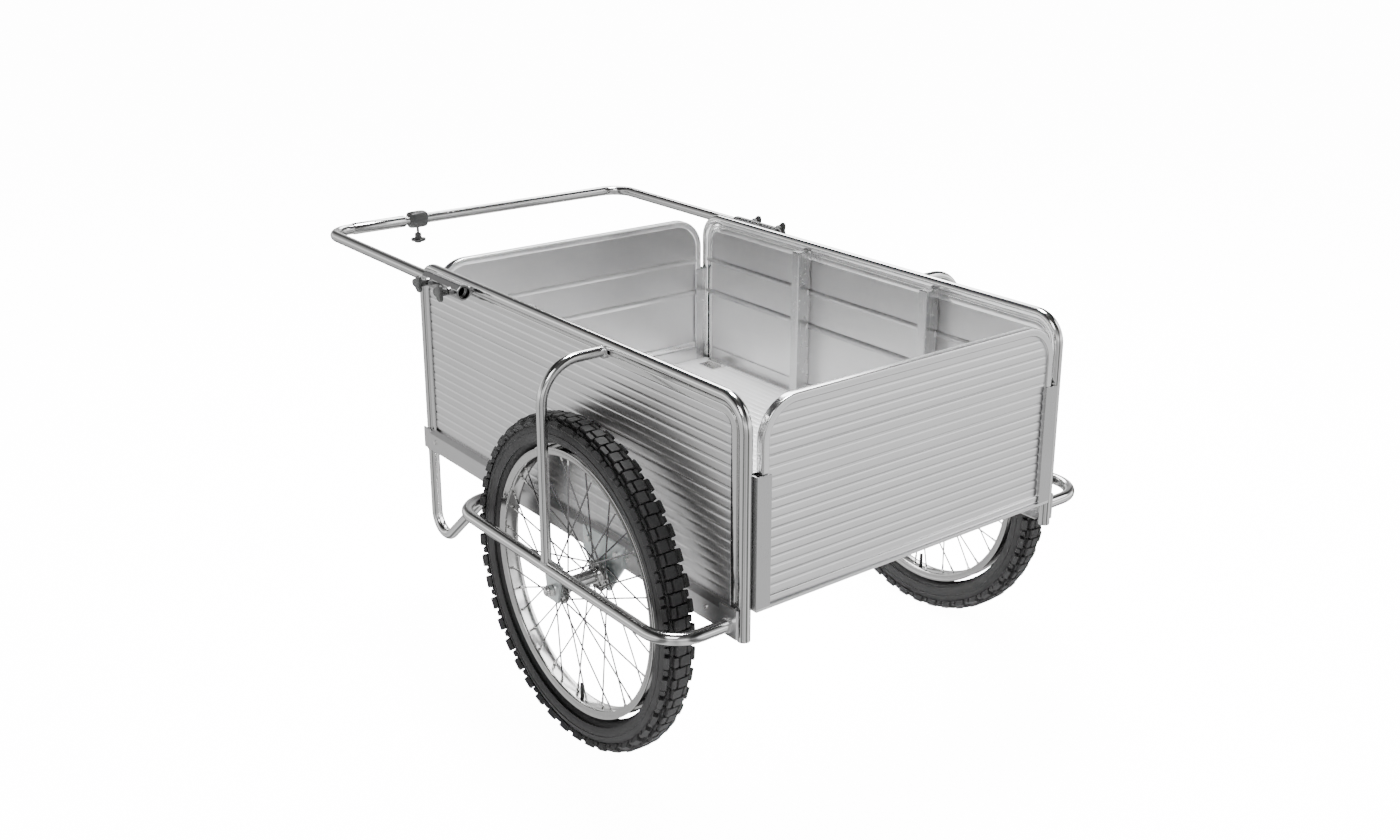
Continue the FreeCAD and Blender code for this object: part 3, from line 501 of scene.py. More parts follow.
hoop_low, hoop_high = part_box("right_hoop")
tube_r = (hoop_high.x - hoop_low.x) / 2
hoop_x = (hoop_high.x + hoop_low.x) / 2
rear_post_y, front_post_y = hoop_low.y + tube_r, hoop_high.y - tube_r
top_z = hoop_high.z - tube_r
rail_low, rail_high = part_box("right_bottom_rail")
floor_low, floor_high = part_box("floor_planks")
axle = mid("right_axle")
tyre_low, tyre_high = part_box("right_tyre")
wheel_x = (tyre_low.x + tyre_high.x) / 2
wheel_r = (tyre_high.z - tyre_low.z) / 2
arm_x, arm_r = hoop_x + 23.5 * MM, 10 * MM
HOOP_BEND = 42 * MM
LOWER_JOINT, UPPER_JOINT = 481 * MM, 546 * MM
RIB_PITCH = 14.4 * MM


def mirrored(side, x, y, z):
    return Vector((side * x, y, z))


def on_axle(side, x):
    return mirrored(side, x, axle.y, axle.z)


# ------------------------------------------------------------ ribbed planks


def rib_profile(low, high, depth=0.55 * MM):
    """(place, depth below the crests) pairs across a plank: flat crests with narrow grooves."""
    count = max(1, round((high - low) / RIB_PITCH))
    pitch = (high - low) / count
    groove, slope = pitch * 0.2, pitch * 0.07
    profile = [(low, depth)]
    for i in range(count):
        start, end = low + i * pitch + groove / 2, low + (i + 1) * pitch - groove / 2
        profile += [
            (start, depth),
            (start + slope * 0.7, depth * 0.3),
            (start + slope * 1.6, 0.0),
            (end - slope * 1.6, 0.0),
            (end - slope * 0.7, depth * 0.3),
            (end, depth),
        ]
    profile.append((high, depth))
    return profile


def corner_reach(z, top, corner_r, flat):
    """How far a panel's edge is drawn in by its round top corner at a height."""
    rise = z - (top - corner_r)
    if rise <= 0:
        return flat
    rise = min(rise, corner_r)
    return flat + corner_r - math.sqrt(max(corner_r**2 - rise**2, 0))


def ribbed_panel(form, bands, top, corner_r, start, end, outer, inner, joint_rib, to_point):
    """Planks stacked in a panel with round top corners.

    outer and inner are the faces' places across the panel, joint_rib is (height, depth) of the
    rib at the top of each plank but the last, and to_point turns (along, across, z) into a point.
    """
    away = 1 if outer > inner else -1
    for number, (low, high) in enumerate(bands):
        low, high = low + 0.25 * MM, high - 0.25 * MM
        rows = {round(z, 6): sink for z, sink in rib_profile(low, high)}
        steps = 26
        for i in range(steps + 1):
            z = low + (high - low) * i / steps
            rows.setdefault(round(z, 6), None)
        heights = sorted(rows)
        known = [(z, rows[z]) for z in heights if rows[z] is not None]
        loops = []
        rib_high, rib_deep = joint_rib if number < len(bands) - 1 else (0, 0)
        for z in heights:
            sink = interpolate(known, z)
            face = outer - away * sink
            back = inner - away * rib_depth(z, high, rib_high, rib_deep)
            pull = corner_reach(z, top, corner_r, 0)
            a, b = start + pull, end - pull
            corners = ((a, face), (b, face), (b, back), (a, back))
            loops.append([to_point(along, across, z) for along, across in corners])
        form.loft(loops)
    return form


def rib_depth(z, top, high, deep):
    """The depth of the rounded joint rib at a height."""
    if not high:
        return 0
    middle = top - high / 2
    off = abs(z - middle) / (high / 2)
    return deep * math.sqrt(max(1 - off**2, 0)) if off < 1 else 0


def interpolate(known, z):
    for (z0, a), (z1, b) in zip(known, known[1:]):
        if z0 <= z <= z1:
            return a + (b - a) * (z - z0) / (z1 - z0) if z1 > z0 else a
    return known[-1][1]


def side_planks(name, side):
    low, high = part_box(f"{name}_side_planks")
    inner_face = hoop_x - 3.9 * MM
    outer_face = plank_high.x
    bands = [(low.z + 5 * MM, LOWER_JOINT), (LOWER_JOINT, UPPER_JOINT), (UPPER_JOINT, high.z)]
    form = Form()
    ribbed_panel(
        form, bands, high.z, HOOP_BEND - tube_r, low.y, high.y, outer_face, inner_face,
        (9 * MM, 4.9 * MM), lambda along, across, z: Vector((side * across, along, z)),
    )
    foot = sorted((side * (inner_face + 1 * MM), side * (inner_face + 3 * MM)))
    form.block((foot[0], low.y, low.z), (foot[1], high.y, low.z + 6 * MM))
    return form.piece(f"{name}_planks", "frame", PLANK, "planks", [f"{name}_side_planks"])


def board(name, body, node_planks, node_frame, outward):
    """An end board: ribbed planks in a folded edging."""
    low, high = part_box(node_frame)
    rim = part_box(node_planks)[0].x - low.x
    middle = (low.y + high.y) / 2
    corner = 60 * MM
    bands = [(low.z + rim, LOWER_JOINT), (LOWER_JOINT, UPPER_JOINT), (UPPER_JOINT, high.z - rim)]
    outer, inner = middle + outward * 3.9 * MM, middle - outward * 3.9 * MM
    form = Form()
    ribbed_panel(
        form, bands, high.z - rim, corner - rim, low.x + rim, high.x - rim, outer, inner,
        (9 * MM, 2.9 * MM), lambda along, across, z: Vector((along, across, z)),
    )
    form.piece(f"{name}_planks", body, BOARD_PLANK, "planks", [node_planks])
    edging = Form()
    half = (rim + 2 * MM) / 2
    path = [
        Vector((low.x + half, middle, low.z + half)),
        Vector((low.x + half, middle, high.z - half)),
        Vector((high.x - half, middle, high.z - half)),
        Vector((high.x - half, middle, low.z + half)),
    ]
    points = board_outline(path, corner - half)
    edging.sweep(points, rounded_box(high.y - low.y, 2 * half, 2.2 * MM), side=Y, ring=True)
    edging.piece(f"{name}_edging", body, EDGING, "extrusion", [node_frame])


def board_outline(corners, radius):
    """A closed path: square at the foot, round at the top."""
    top = bent_path([corners[0], corners[1], corners[2], corners[3]], radius, 14)
    foot_left, foot_right = top[0], top[-1]
    small = 1.5 * MM
    step_in = (foot_left - foot_right).normalized() * small
    tail = [foot_right + step_in, foot_left - step_in]
    top[0] = foot_left + Z * small
    top[-1] = foot_right + Z * small
    return top + tail


def floor():
    """Floor planks with ribs along the bed, side by side."""
    low, high = floor_low, floor_high
    planks = 6
    width = (high.x - low.x) / planks
    form = Form()
    for number in range(planks):
        a, b = low.x + number * width + 0.2 * MM, low.x + (number + 1) * width - 0.2 * MM
        loops = []
        for x, sink in rib_profile(a, b):
            top = high.z - sink
            loops.append([(x, low.y, top), (x, high.y, top), (x, high.y, low.z), (x, low.y, low.z)])
        form.loft(loops)
    form.piece("floor", "frame", FLOOR_PLANK, "planks", ["floor_planks"])


# ------------------------------------------------------------ tube frame


def side_hoop(name, side):
    """The bent hoop with the two lips that hold the planks."""
    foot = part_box(f"{name}_hoop")[0].z
    corners = [
        mirrored(side, hoop_x, rear_post_y, foot),
        mirrored(side, hoop_x, rear_post_y, top_z),
        mirrored(side, hoop_x, front_post_y, top_z),
        mirrored(side, hoop_x, front_post_y, rail_low.z),
    ]
    form = Form()
    tube(form, bent_path(corners, HOOP_BEND), tube_r)
    lip_path = inside_hoop(side, 17.5 * MM)
    root_path = inside_hoop(side, 11 * MM)
    for offset in (-5.2 * MM, 5.2 * MM):
        strip = [(a + offset, b) for a, b in rounded_box(2.4 * MM, 11.6 * MM, 0.9 * MM, 2)]
        form.sweep(lip_path, strip, side=X)
    for offset in (-3.9 * MM, 3.9 * MM):
        web = [(a + offset, b) for a, b in rounded_box(1.2 * MM, 6 * MM, 0.3 * MM, 1)]
        form.sweep(root_path, web, side=X)
    form.piece(f"{name}_side_hoop", "frame", TUBE, "frame_tube", [f"{name}_hoop"])


def inside_hoop(side, inset):
    """The path along a hoop, moved in by an inset."""
    foot, top = rail_high.z, top_z - inset
    corners = [
        mirrored(side, hoop_x, rear_post_y + inset, foot),
        mirrored(side, hoop_x, rear_post_y + inset, top),
        mirrored(side, hoop_x, front_post_y - inset, top),
        mirrored(side, hoop_x, front_post_y - inset, foot),
    ]
    return bent_path(corners, HOOP_BEND - inset)


def guard(name, side):
    low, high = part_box(f"{name}_guard")
    out = max(abs(low.x), abs(high.x)) - tube_r
    near = min(abs(low.x), abs(high.x))
    z = (low.z + high.z) / 2
    front, rear = high.y - tube_r, low.y + tube_r
    corners = [
        mirrored(side, near, front, z),
        mirrored(side, out, front, z),
        mirrored(side, out, rear, z),
        mirrored(side, near + 4 * MM, rear, z),
    ]
    form = Form()
    tube(form, bent_path(corners, 55 * MM), tube_r)
    form.piece(f"{name}_guard_tube", "frame", TUBE, "frame_tube", [f"{name}_guard"])
    bead = Form()
    weld_ring(bead, mirrored(side, near + 1 * MM, front, z), X, tube_r)
    weld_ring(bead, mirrored(side, near + 5 * MM, rear, z), X, tube_r)
    # the upright weld from the guard's rear end to the rail
    seam_x = near + 3 * MM
    foot = mirrored(side, seam_x, rear, z + tube_r * 0.7)
    weld_run(bead, foot, mirrored(side, seam_x, rear, rail_high.z - 16 * MM), 3 * MM)
    bead.piece(f"{name}_guard_welds", "frame", WELD, "frame_tube")


def weld_ring(form, centre, axis, radius, bead=1.7 * MM, ripples=26):
    """A rippled weld bead round a tube."""
    across = axis.orthogonal().normalized()
    up = axis.cross(across)
    count = ripples * 4
    loops = []
    for i in range(count):
        t = 2 * math.pi * i / count
        out = across * math.cos(t) + up * math.sin(t)
        size = bead * (0.86 + 0.16 * math.sin(ripples * t) + 0.1 * random.random())
        middle = centre + out * (radius + size * 0.1)
        ring = [(math.cos(a), math.sin(a)) for a in (2 * math.pi * k / 8 for k in range(8))]
        loops.append([middle + out * size * a + axis * size * 1.4 * b for a, b in ring])
    form.loft(loops, ring=True)


def weld_run(form, start, end, bead=1.8 * MM):
    """A short straight weld."""
    start, end = Vector(start), Vector(end)
    length = (end - start).length
    count = max(6, round(length / (0.9 * MM)))
    path = [start.lerp(end, i / count) for i in range(count + 1)]
    ahead = (end - start).normalized()
    across = ahead.orthogonal().normalized()
    up = ahead.cross(across)
    loops = []
    for i, point in enumerate(path):
        fade = min(1, 0.45 + 0.25 * min(i, count - i))
        size = bead * fade * (0.88 + 0.14 * math.sin(i * 1.9) + 0.08 * random.random())
        ring = [(math.cos(a), math.sin(a)) for a in (2 * math.pi * k / 8 for k in range(8))]
        loops.append([point + across * size * a + up * size * b for a, b in ring])
    form.loft(loops)


def arch(name, side):
    low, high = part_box(f"{name}_arch")
    radius = (high.y - low.y) / 2
    out = max(abs(low.x), abs(high.x)) - radius
    y = (low.y + high.y) / 2
    z = high.z - radius
    guard_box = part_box(f"{name}_guard")
    guard_z = (guard_box[0].z + guard_box[1].z) / 2
    corners = [
        mirrored(side, hoop_x + 7.5 * MM, y, z),
        mirrored(side, out, y, z),
        mirrored(side, out, y, guard_z + tube_r * 0.8),
    ]
    form = Form()
    tube(form, bent_path(corners, 62 * MM), radius)
    form.piece(f"{name}_arch_tube", "frame", TUBE, "frame_tube", [f"{name}_arch"])
    bead = Form()
    weld_ring(bead, mirrored(side, hoop_x + 9 * MM, y, z - 1 * MM), X, radius, 1.9 * MM)
    weld_ring(bead, mirrored(side, out, y, guard_z + tube_r * 0.86), Z, radius, 1.25 * MM)
    bead.piece(f"{name}_arch_welds", "frame", WELD, "frame_tube")


def leg(name, side):
    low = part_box(f"{name}_leg")[0]
    foot = low.z + tube_r
    rear = low.y
    bend = 34 * MM
    top = rail_low.z
    slope_end = mirrored(side, hoop_x, rear + 4 * MM, top + 6 * MM)
    corners = [
        mirrored(side, hoop_x, front_post_y, top + 6 * MM),
        mirrored(side, hoop_x, front_post_y, foot - 16 * MM),
        slope_end,
    ]
    path = bent_path(corners, bend, 16)
    lowest = min(point.z for point in path)
    corners[1].z += foot - lowest
    form = Form()
    tube(form, bent_path(corners, bend, 16), tube_r)
    form.piece(f"{name}_bent_leg", "frame", TUBE, "frame_tube", [f"{name}_leg"])
    bead = Form()
    weld_ring(bead, mirrored(side, hoop_x, front_post_y, top - 1 * MM), Z, tube_r, 1.4 * MM)
    bead.piece(f"{name}_leg_weld", "frame", WELD, "frame_tube")


def bottom_rail(name, side):
    """The channel under a side panel, with a rounded lip along its top edge."""
    low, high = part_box(f"{name}_bottom_rail")
    face = max(abs(low.x), abs(high.x))
    back = min(abs(low.x), abs(high.x))
    wall = 2.5 * MM
    end = front_post_y - tube_r - 0.5 * MM
    section = [
        (face - 0.8 * MM, low.z), (back, low.z), (back, low.z + wall), (face - wall, low.z + wall),
        (face - wall, high.z - wall - 7 * MM), (face - 8 * MM, high.z - wall), (back, high.z - wall),
        (back, high.z), (face - 7 * MM, high.z), (face, high.z - 7 * MM), (face, low.z + 0.8 * MM),
    ]
    form = Form()
    form.loft([[(side * x, y, z) for x, z in section] for y in (low.y, end)])
    cover = [(face - 0.8 * MM, low.z), (face - wall, low.z), (face - wall, high.z), (face - 1.2 * MM, high.z),
             (face, high.z - 1.2 * MM), (face, low.z + 0.8 * MM)]
    form.loft([[(side * x, y, z) for x, z in cover] for y in (end, high.y)])
    form.piece(f"{name}_rail", "frame", RAIL, "extrusion", [f"{name}_bottom_rail"])


def uprights(name, side):
    """Box uprights inside a side panel, welded where they cross the joint ribs."""
    low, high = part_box(f"{name}_side_uprights")
    wide = 19 * MM
    form, bead = Form(), Form()
    for y in (low.y + wide / 2, high.y - wide / 2):
        near, far = sorted((abs(low.x), abs(high.x)))
        xs = sorted((side * near, side * (hoop_x - 4 * MM)))
        form.block((xs[0], y - wide / 2, low.z), (xs[1], y + wide / 2, high.z), 1.4 * MM)
        for z in (LOWER_JOINT - 4.5 * MM, UPPER_JOINT - 4.5 * MM):
            for edge in (-1, 1):
                x = side * (far - 1 * MM)
                place = y + edge * (wide / 2)
                weld_run(bead, (x, place, z - 5 * MM), (x, place, z + 5 * MM), 2.4 * MM)
        for edge in (-1, 1):
            x0, x1 = side * (near + 3 * MM), side * (far - 4 * MM)
            weld_run(bead, (x0, y + edge * wide / 2, low.z), (x1, y + edge * wide / 2, low.z), 2 * MM)
    form.piece(f"{name}_uprights", "frame", UPRIGHT, "extrusion", [f"{name}_side_uprights"])
    bead.piece(f"{name}_upright_welds", "frame", WELD, "extrusion")


# ------------------------------------------------------------ handle


def sleeve(name, side):
    """The sleeve on the top rail: a teardrop section with two bosses."""
    low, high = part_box(f"{name}_sleeve")
    radius = (high.z - low.z) / 2
    z = (high.z + low.z) / 2
    bore = arm_r + 0.4 * MM
    outer, inner = [], []
    count = 72
    for i in range(count):
        t = 2 * math.pi * i / count
        a, b = math.cos(t), math.sin(t)
        facet = math.pi / 4
        off = (t + facet / 2) % facet - facet / 2
        reach = min(radius / math.cos(off), radius * 1.06) if a > -0.3 else radius
        toward = max(-a, 0)
        x = arm_x + min(reach * a, radius) - toward**3 * 6 * MM
        outer.append((x, z + max(min(reach * b, radius), -radius) * (1 - 0.35 * toward**2)))
        inner.append((arm_x + bore * a, z + bore * b))
    loops = []
    for y, ease, ring in (
        (low.y, 0.6 * MM, outer), (low.y + 0.6 * MM, 0, outer), (high.y - 0.6 * MM, 0, outer),
        (high.y, 0.6 * MM, outer), (high.y, 0, inner), (low.y, 0, inner),
    ):
        scale = 1 - ease / radius
        loops.append([(side * (arm_x + (x - arm_x) * scale), y, z + (h - z) * scale) for x, h in ring])
    form = Form()
    form.loft(loops, ring=True)
    reach = max(abs(low.x), abs(high.x))
    for knob in ("rear", "front"):
        y = mid(f"{name}_{knob}_knob").y
        long = reach - arm_x - radius
        ease = 0.4 * MM
        profile = [(0, 7 * MM), (long, 7 * MM), (long + ease, 6.4 * MM)]
        profile += [(long + ease, 3.1 * MM), (0, 3.1 * MM)]
        form.lathe(profile, mirrored(side, arm_x + radius - ease, y, z), X * side, 24)
    form.piece(f"{name}_arm_sleeve", "frame", SLEEVE, "extrusion", [f"{name}_sleeve"], 20)
    bead = Form()
    seam_x = hoop_x + tube_r + 1.2 * MM
    for level in (z - 5.5 * MM, z + 6.5 * MM):
        start = mirrored(side, seam_x, low.y + 4 * MM, level)
        weld_run(bead, start, mirrored(side, seam_x, high.y - 4 * MM, level), 1.8 * MM)
    bead.piece(f"{name}_sleeve_welds", "frame", WELD, "extrusion")


def wing_knob(node, body, axis):
    """A three-lobed knob: a round hub, three rounded lobes and a neck, on a steel stud."""
    low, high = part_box(node)
    centre = mid(node)
    size = high - low
    reach = abs(size.dot(axis))
    inward = centre - axis * reach / 2
    across = (Y if abs(axis.x) > 0.5 else X).copy()
    up = axis.cross(across)
    span = 16 * MM
    hub = Vector(centre)
    if abs(axis.x) > 0.5:
        hub.y, hub.z = knob_axis[node]
    else:
        hub.x, hub.y = knob_axis[node]
    start = hub - axis * ((hub - inward).dot(axis))
    thick = 15 * MM
    top, foot = reach, reach - thick
    head = top - 7.5 * MM
    loops = []
    for along, scale in (
        (head - 0.5 * MM, 0.5), (head, 0.7), (head + 0.8 * MM, 0.93), (head + 2.2 * MM, 1.0),
        (top - 2.6 * MM, 0.995), (top - 1.2 * MM, 0.95), (top - 0.4 * MM, 0.84), (top, 0.6),
    ):
        loop = []
        for i in range(48):
            t = 2 * math.pi * i / 48
            lobe = 0.79 + 0.21 * math.cos(3 * t)
            radius = span * lobe * scale
            loop.append(start + axis * along + across * radius * math.cos(t) + up * radius * math.sin(t))
        loops.append(loop)
    form = Form()
    form.loft(loops)
    neck = [
        (foot - 3 * MM, 0.1 * MM), (foot - 3 * MM, 5.6 * MM), (foot - 2.2 * MM, 6.4 * MM),
        (foot + 1 * MM, 6.6 * MM), (head - 2 * MM, 6.9 * MM), (head + 1 * MM, 8.4 * MM),
        (head + 1 * MM, 0.1 * MM),
    ]
    form.lathe(neck, start, axis, 24)
    form.piece(f"{node}_grip", body, PLASTIC, "black_plastic", [node])
    stud = Form()
    ridges = [(0, 0.1 * MM)]
    for i in range(round((foot - 3 * MM) / (0.5 * MM)) + 1):
        ridges.append((i * 0.5 * MM, 2.95 * MM if i % 2 else 2.6 * MM))
    ridges += [(foot - 2 * MM, 2.6 * MM), (foot - 2 * MM, 0.1 * MM)]
    stud.lathe(ridges, start, axis, 20)
    stud.piece(f"{node}_stud", body, NUT, "black_plastic")


def handle():
    """The two bent arms, the thick stub, the neck and the clamp block."""
    z = mid("handle_right_arm").z
    left_low, left_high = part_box("handle_left_arm")
    right_low, right_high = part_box("handle_right_arm")
    bar_y = right_high.y - arm_r
    block_low, block_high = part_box("handle_clamp_block")
    stub_end = left_high.x
    left = Form()
    corners = [(-arm_x, left_low.y, z), (-arm_x, bar_y, z), (stub_end, bar_y, z)]
    tube(left, bent_path(corners, 45 * MM, 14), arm_r)
    collar_from = -arm_x + 50 * MM
    long = stub_end - collar_from
    profile = [
        (0, arm_r), (3 * MM, 11.2 * MM), (long - 1.5 * MM, 11.4 * MM),
        (long, 10.6 * MM), (long, 8.6 * MM), (0, 8.6 * MM),
    ]
    left.lathe(profile, Vector((collar_from, bar_y, z)), X, 32)
    left.piece("handle_left_tube", "handle", HANDLE_TUBE, "handle_tube", ["handle_left_arm"])
    right = Form()
    corners = [(arm_x, right_low.y, z), (arm_x, bar_y, z), (block_high.x, bar_y, z)]
    tube(right, bent_path(corners, 45 * MM, 14), arm_r)
    right.piece("handle_right_tube", "handle", HANDLE_TUBE, "handle_tube", ["handle_right_arm"])
    clamp_block(block_low, block_high)
    paint("handle_spigot", HANDLE_TUBE)


def clamp_block(low, high):
    """The black block: a rounded barrel along the bar that narrows to a nose underneath."""
    middle = (low + high) / 2
    half_y, half_z = (high.y - low.y) / 2, (high.z - low.z) / 2
    loops = []
    count = 40
    for x, scale in (
        (low.x, 0.86), (low.x + 0.8 * MM, 0.92), (low.x + 2.2 * MM, 0.96), (low.x + 10 * MM, 1),
        (high.x - 10 * MM, 1), (high.x - 2.2 * MM, 0.96), (high.x - 0.8 * MM, 0.92), (high.x, 0.86),
    ):
        loop = []
        for i in range(count):
            t = 2 * math.pi * i / count
            a, b = math.cos(t), math.sin(t)
            square = (abs(a) ** 4 + abs(b) ** 4) ** -0.25
            y, z = half_y * a * square, half_z * b * square
            if z < 0:
                y *= 1 - 0.34 * (-z / half_z) ** 1.5
            loop.append((x, middle.y + y * scale, middle.z + z * scale))
        loops.append(loop)
    form = Form()
    form.loft(loops)
    form.piece("clamp_block", "handle", PLASTIC, "black_plastic", ["handle_clamp_block"], 40)


# ------------------------------------------------------------ wheels


# blocks of the tread: offset from the middle, width, length, foot below the casing and height,
# in millimetres, and the lean of the top outwards in degrees
MIDDLE_BLOCKS = (
    (3.4, 17.4, 17.5, 0, 5.2, 0),
    (-9.8, 8.2, 17.1, 1, 5.2, -16),
    (14.6, 3.4, 17.5, 2.6, 4.6, 26),
)
SHOULDER_BLOCKS = ((19.6, 8, 10, 7.8, 4.2, 46), (19.6, 9, 20, 7.6, 7.6, 44))


def tyre(name, side):
    """A knobbly tyre: a round casing with rows of blocks over the tread and shoulders."""
    body = f"{name}_wheel"
    centre = on_axle(side, wheel_x)
    half = (tyre_high.x - tyre_low.x) / 2
    casing_r = wheel_r - 5.5 * MM
    profile = []
    bead_r = 208 * MM
    section_mid = (casing_r + bead_r) / 2 + 1 * MM
    section_high = casing_r - section_mid
    for i in range(33):
        t = math.radians(-122 + 244 * i / 32)
        x = (half - 3.2 * MM) * math.sin(t)
        r = section_mid + section_high * math.cos(t)
        profile.append((x, r))
    inner = [(x * 0.86, r - 2.5 * MM if r > section_mid else r + 0.5 * MM) for x, r in reversed(profile)]
    form = Form()
    form.lathe(profile + inner, centre, X, 180)
    ridges = ((half - 2.9 * MM) * 0.99, section_mid + 1 * MM)
    for sx in (-1, 1):
        ring = [(sx * (ridges[0] + a), ridges[1] + b) for a, b in circle_of(0.9 * MM, 6)]
        form.lathe(ring, centre, X, 120)
    pitches = 44
    for i in range(2 * pitches):
        turn = math.pi * i / pitches
        swap = 1 if i % 2 else -1
        for block in MIDDLE_BLOCKS:
            tread_block(form, centre, turn, casing_r, swap, block)
        for flank in (-1, 1):
            tread_block(form, centre, turn, casing_r, flank, SHOULDER_BLOCKS[i % 2])
    form.piece(f"{name}_knobbly_tyre", body, RUBBER, "tyre", [f"{name}_tyre"], 30)


def tread_block(form, centre, turn, radius, flank, block):
    """One rubber block on a casing of a radius, at a turn of the wheel, to one flank."""
    offset, wide, long, sunk, proud, lean = block
    out = Y * math.sin(turn) + Z * math.cos(turn)
    ahead = Y * math.cos(turn) - Z * math.sin(turn)
    tip = math.radians(flank * lean)
    up = out * math.cos(tip) + X * math.sin(tip)
    across = X * math.cos(tip) - out * math.sin(tip)
    foot = centre + X * (flank * offset * MM) + out * (radius - sunk * MM) - up * 1.5 * MM
    jitter = 0.35 * MM
    loops = []
    for height, shrink in ((0, 0), (proud + 0.3, 0.9), (proud + 1.5, 1.8)):
        a, b = (wide - shrink) / 2 * MM, (long - shrink) / 2 * MM
        push = jitter * (random.random() - 0.5)
        middle = foot + up * (height * MM + push * 0.4) + ahead * push
        corners = cut_corners((-a, a), (-b, b), 1.2 * MM)
        loops.append([middle + across * p + ahead * q for p, q in corners])
    form.loft(loops)


def rim(name, side):
    """A rolled rim: tall bright walls, curled edges and a dished bed with spoke nipples."""
    centre = on_axle(side, wheel_x)
    low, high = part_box(f"{name}_rim")
    outer = (high.z - low.z) / 2
    half = (high.x - low.x) / 2
    bed = 197 * MM
    flank = [
        (0, bed + 2.2 * MM), (8 * MM, bed + 3 * MM), (half - 2.2 * MM, bed + 5 * MM),
        (half - 2.2 * MM, outer - 1.2 * MM), (half - 1.8 * MM, outer), (half - 0.4 * MM, outer),
        (half, outer - 1 * MM), (half - 0.4 * MM, outer - 3.4 * MM), (half - 1.1 * MM, outer - 4.4 * MM),
        (half - 0.9 * MM, bed + 4 * MM), (half - 2 * MM, bed + 1.4 * MM), (half - 4.4 * MM, bed + 0.3 * MM),
        (8 * MM, bed + 0.4 * MM), (5 * MM, bed + 1.3 * MM), (0, bed + 1.5 * MM),
    ]
    form = Form()
    form.lathe(flank + [(-a, r) for a, r in reversed(flank[1:-1])], centre, X, 180)
    form.piece(f"{name}_rolled_rim", f"{name}_wheel", CHROME, "rim", [f"{name}_rim"], 40)


def spokes(name, side):
    """Crossed wire spokes with nipples at the rim and bent heads at the flanges."""
    centre = on_axle(side, wheel_x)
    form, nipples = Form(), Form()
    count = 36
    flange = 34 * MM
    for i in range(count):
        flank = 1 if i % 2 else -1
        lean = 1 if (i // 2) % 2 else -1
        rim_turn = 2 * math.pi * (i + 0.5) / count
        hub_turn = rim_turn + lean * math.radians(62)
        outside = flank * (flange + (3.2 if lean > 0 else -2.8) * MM)
        start = centre + spoke_point(outside, 20.5 * MM, hub_turn)
        end = centre + spoke_point(flank * 3 * MM, 197.6 * MM, rim_turn)
        form.rod(start, end, 1.25 * MM, 8)
        head = start - X * (outside - flank * (flange - (3.2 if lean > 0 else -2.8) * MM)) * 0.95
        form.rod(start, head, 1.05 * MM, 8)
        cap = (head - start).normalized()
        form.rod(head, head + cap * 1 * MM, 2 * MM, 8)
        ahead = (start - end).normalized()
        nipples.rod(end + ahead * 0.5 * MM, end + ahead * 3.5 * MM, 2.6 * MM, 10)
        nipples.rod(end + ahead * 3 * MM, end + ahead * 13 * MM, 1.75 * MM, 8)
    form.piece(f"{name}_spoke_wires", f"{name}_wheel", WIRE, "hub_and_spokes", [f"{name}_spokes"])
    nipples.piece(f"{name}_spoke_nipples", f"{name}_wheel", NUT, "hub_and_spokes")


def spoke_point(x, radius, turn):
    return Vector((x, radius * math.sin(turn), radius * math.cos(turn)))


def hub(name, side):
    centre = on_axle(side, wheel_x)
    low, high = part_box(f"{name}_hub")
    end = (high.x - low.x) / 2
    flange_r = (high.z - low.z) / 2
    lip = 0.8 * MM
    half = in_mm((0, 11.4), (20, 11.4), (26, 12.6), (30.5, 15.5), (32.4, 17.5)) + [
        (32.5 * MM, flange_r - lip), (33.2 * MM, flange_r), (34.8 * MM, flange_r),
        (35.5 * MM, flange_r - lip), (35.5 * MM, 17 * MM), (36.2 * MM, 15.4 * MM),
        (end - 0.6 * MM, 15 * MM), (end, 14.2 * MM), (end, 12.8 * MM),
        (end - 2 * MM, 12.6 * MM), (end - 2 * MM, 7 * MM),
    ]
    profile = [(-a, r) for a, r in reversed(half)] + half[1:]
    form = Form()
    form.lathe(profile, centre, X, 60)
    form.piece(f"{name}_hub_shell", f"{name}_wheel", CHROME, "hub_and_spokes", [f"{name}_hub"])


def axle_and_nuts(name, side):
    """The threaded axle, a domed nut outside and thin lock nuts beside the hub."""
    low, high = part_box(f"{name}_axle")
    near, far = sorted((abs(low.x), abs(high.x)))
    start = on_axle(side, near)
    long = far - near
    profile = [(0, 0.1 * MM)]
    count = round(long / (0.55 * MM))
    for i in range(count + 1):
        profile.append((i * long / count, 4.95 * MM if i % 2 else 4.45 * MM))
    profile.append((long, 0.1 * MM))
    form = Form()
    form.lathe(profile, start, X * side, 20)
    form.piece(f"{name}_threaded_axle", "frame", NUT, "steel_fittings", [f"{name}_axle"])
    nut_low, nut_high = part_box(f"{name}_axle_nuts")
    near, far = sorted((abs(nut_low.x), abs(nut_high.x)))
    out = far - 15 * MM
    nuts = Form()
    hex_nut(nuts, on_axle(side, out + 1.5 * MM), X * side, 9.6 * MM, 7.5 * MM)
    washer = in_mm((0, 5), (0, 9.9), (1.4, 9.9), (1.4, 5))
    nuts.lathe(washer, on_axle(side, out), X * side, 32)
    turns = [math.radians(t) for t in range(0, 91, 10)]
    dome = in_mm((0, 0.1), *((6 * math.sin(t), max(8 * math.cos(t), 0.1)) for t in turns))
    nuts.lathe(dome, on_axle(side, out + 9 * MM), X * side, 32)
    for a, b in ((near, wheel_x - 38.6 * MM), (wheel_x + 38.6 * MM, hoop_x + 102.4 * MM)):
        hex_nut(nuts, on_axle(side, min(a, b)), X * side, 9 * MM, abs(b - a))
    nuts.piece(f"{name}_nuts", "frame", NUT, "steel_fittings", [f"{name}_axle_nuts"])


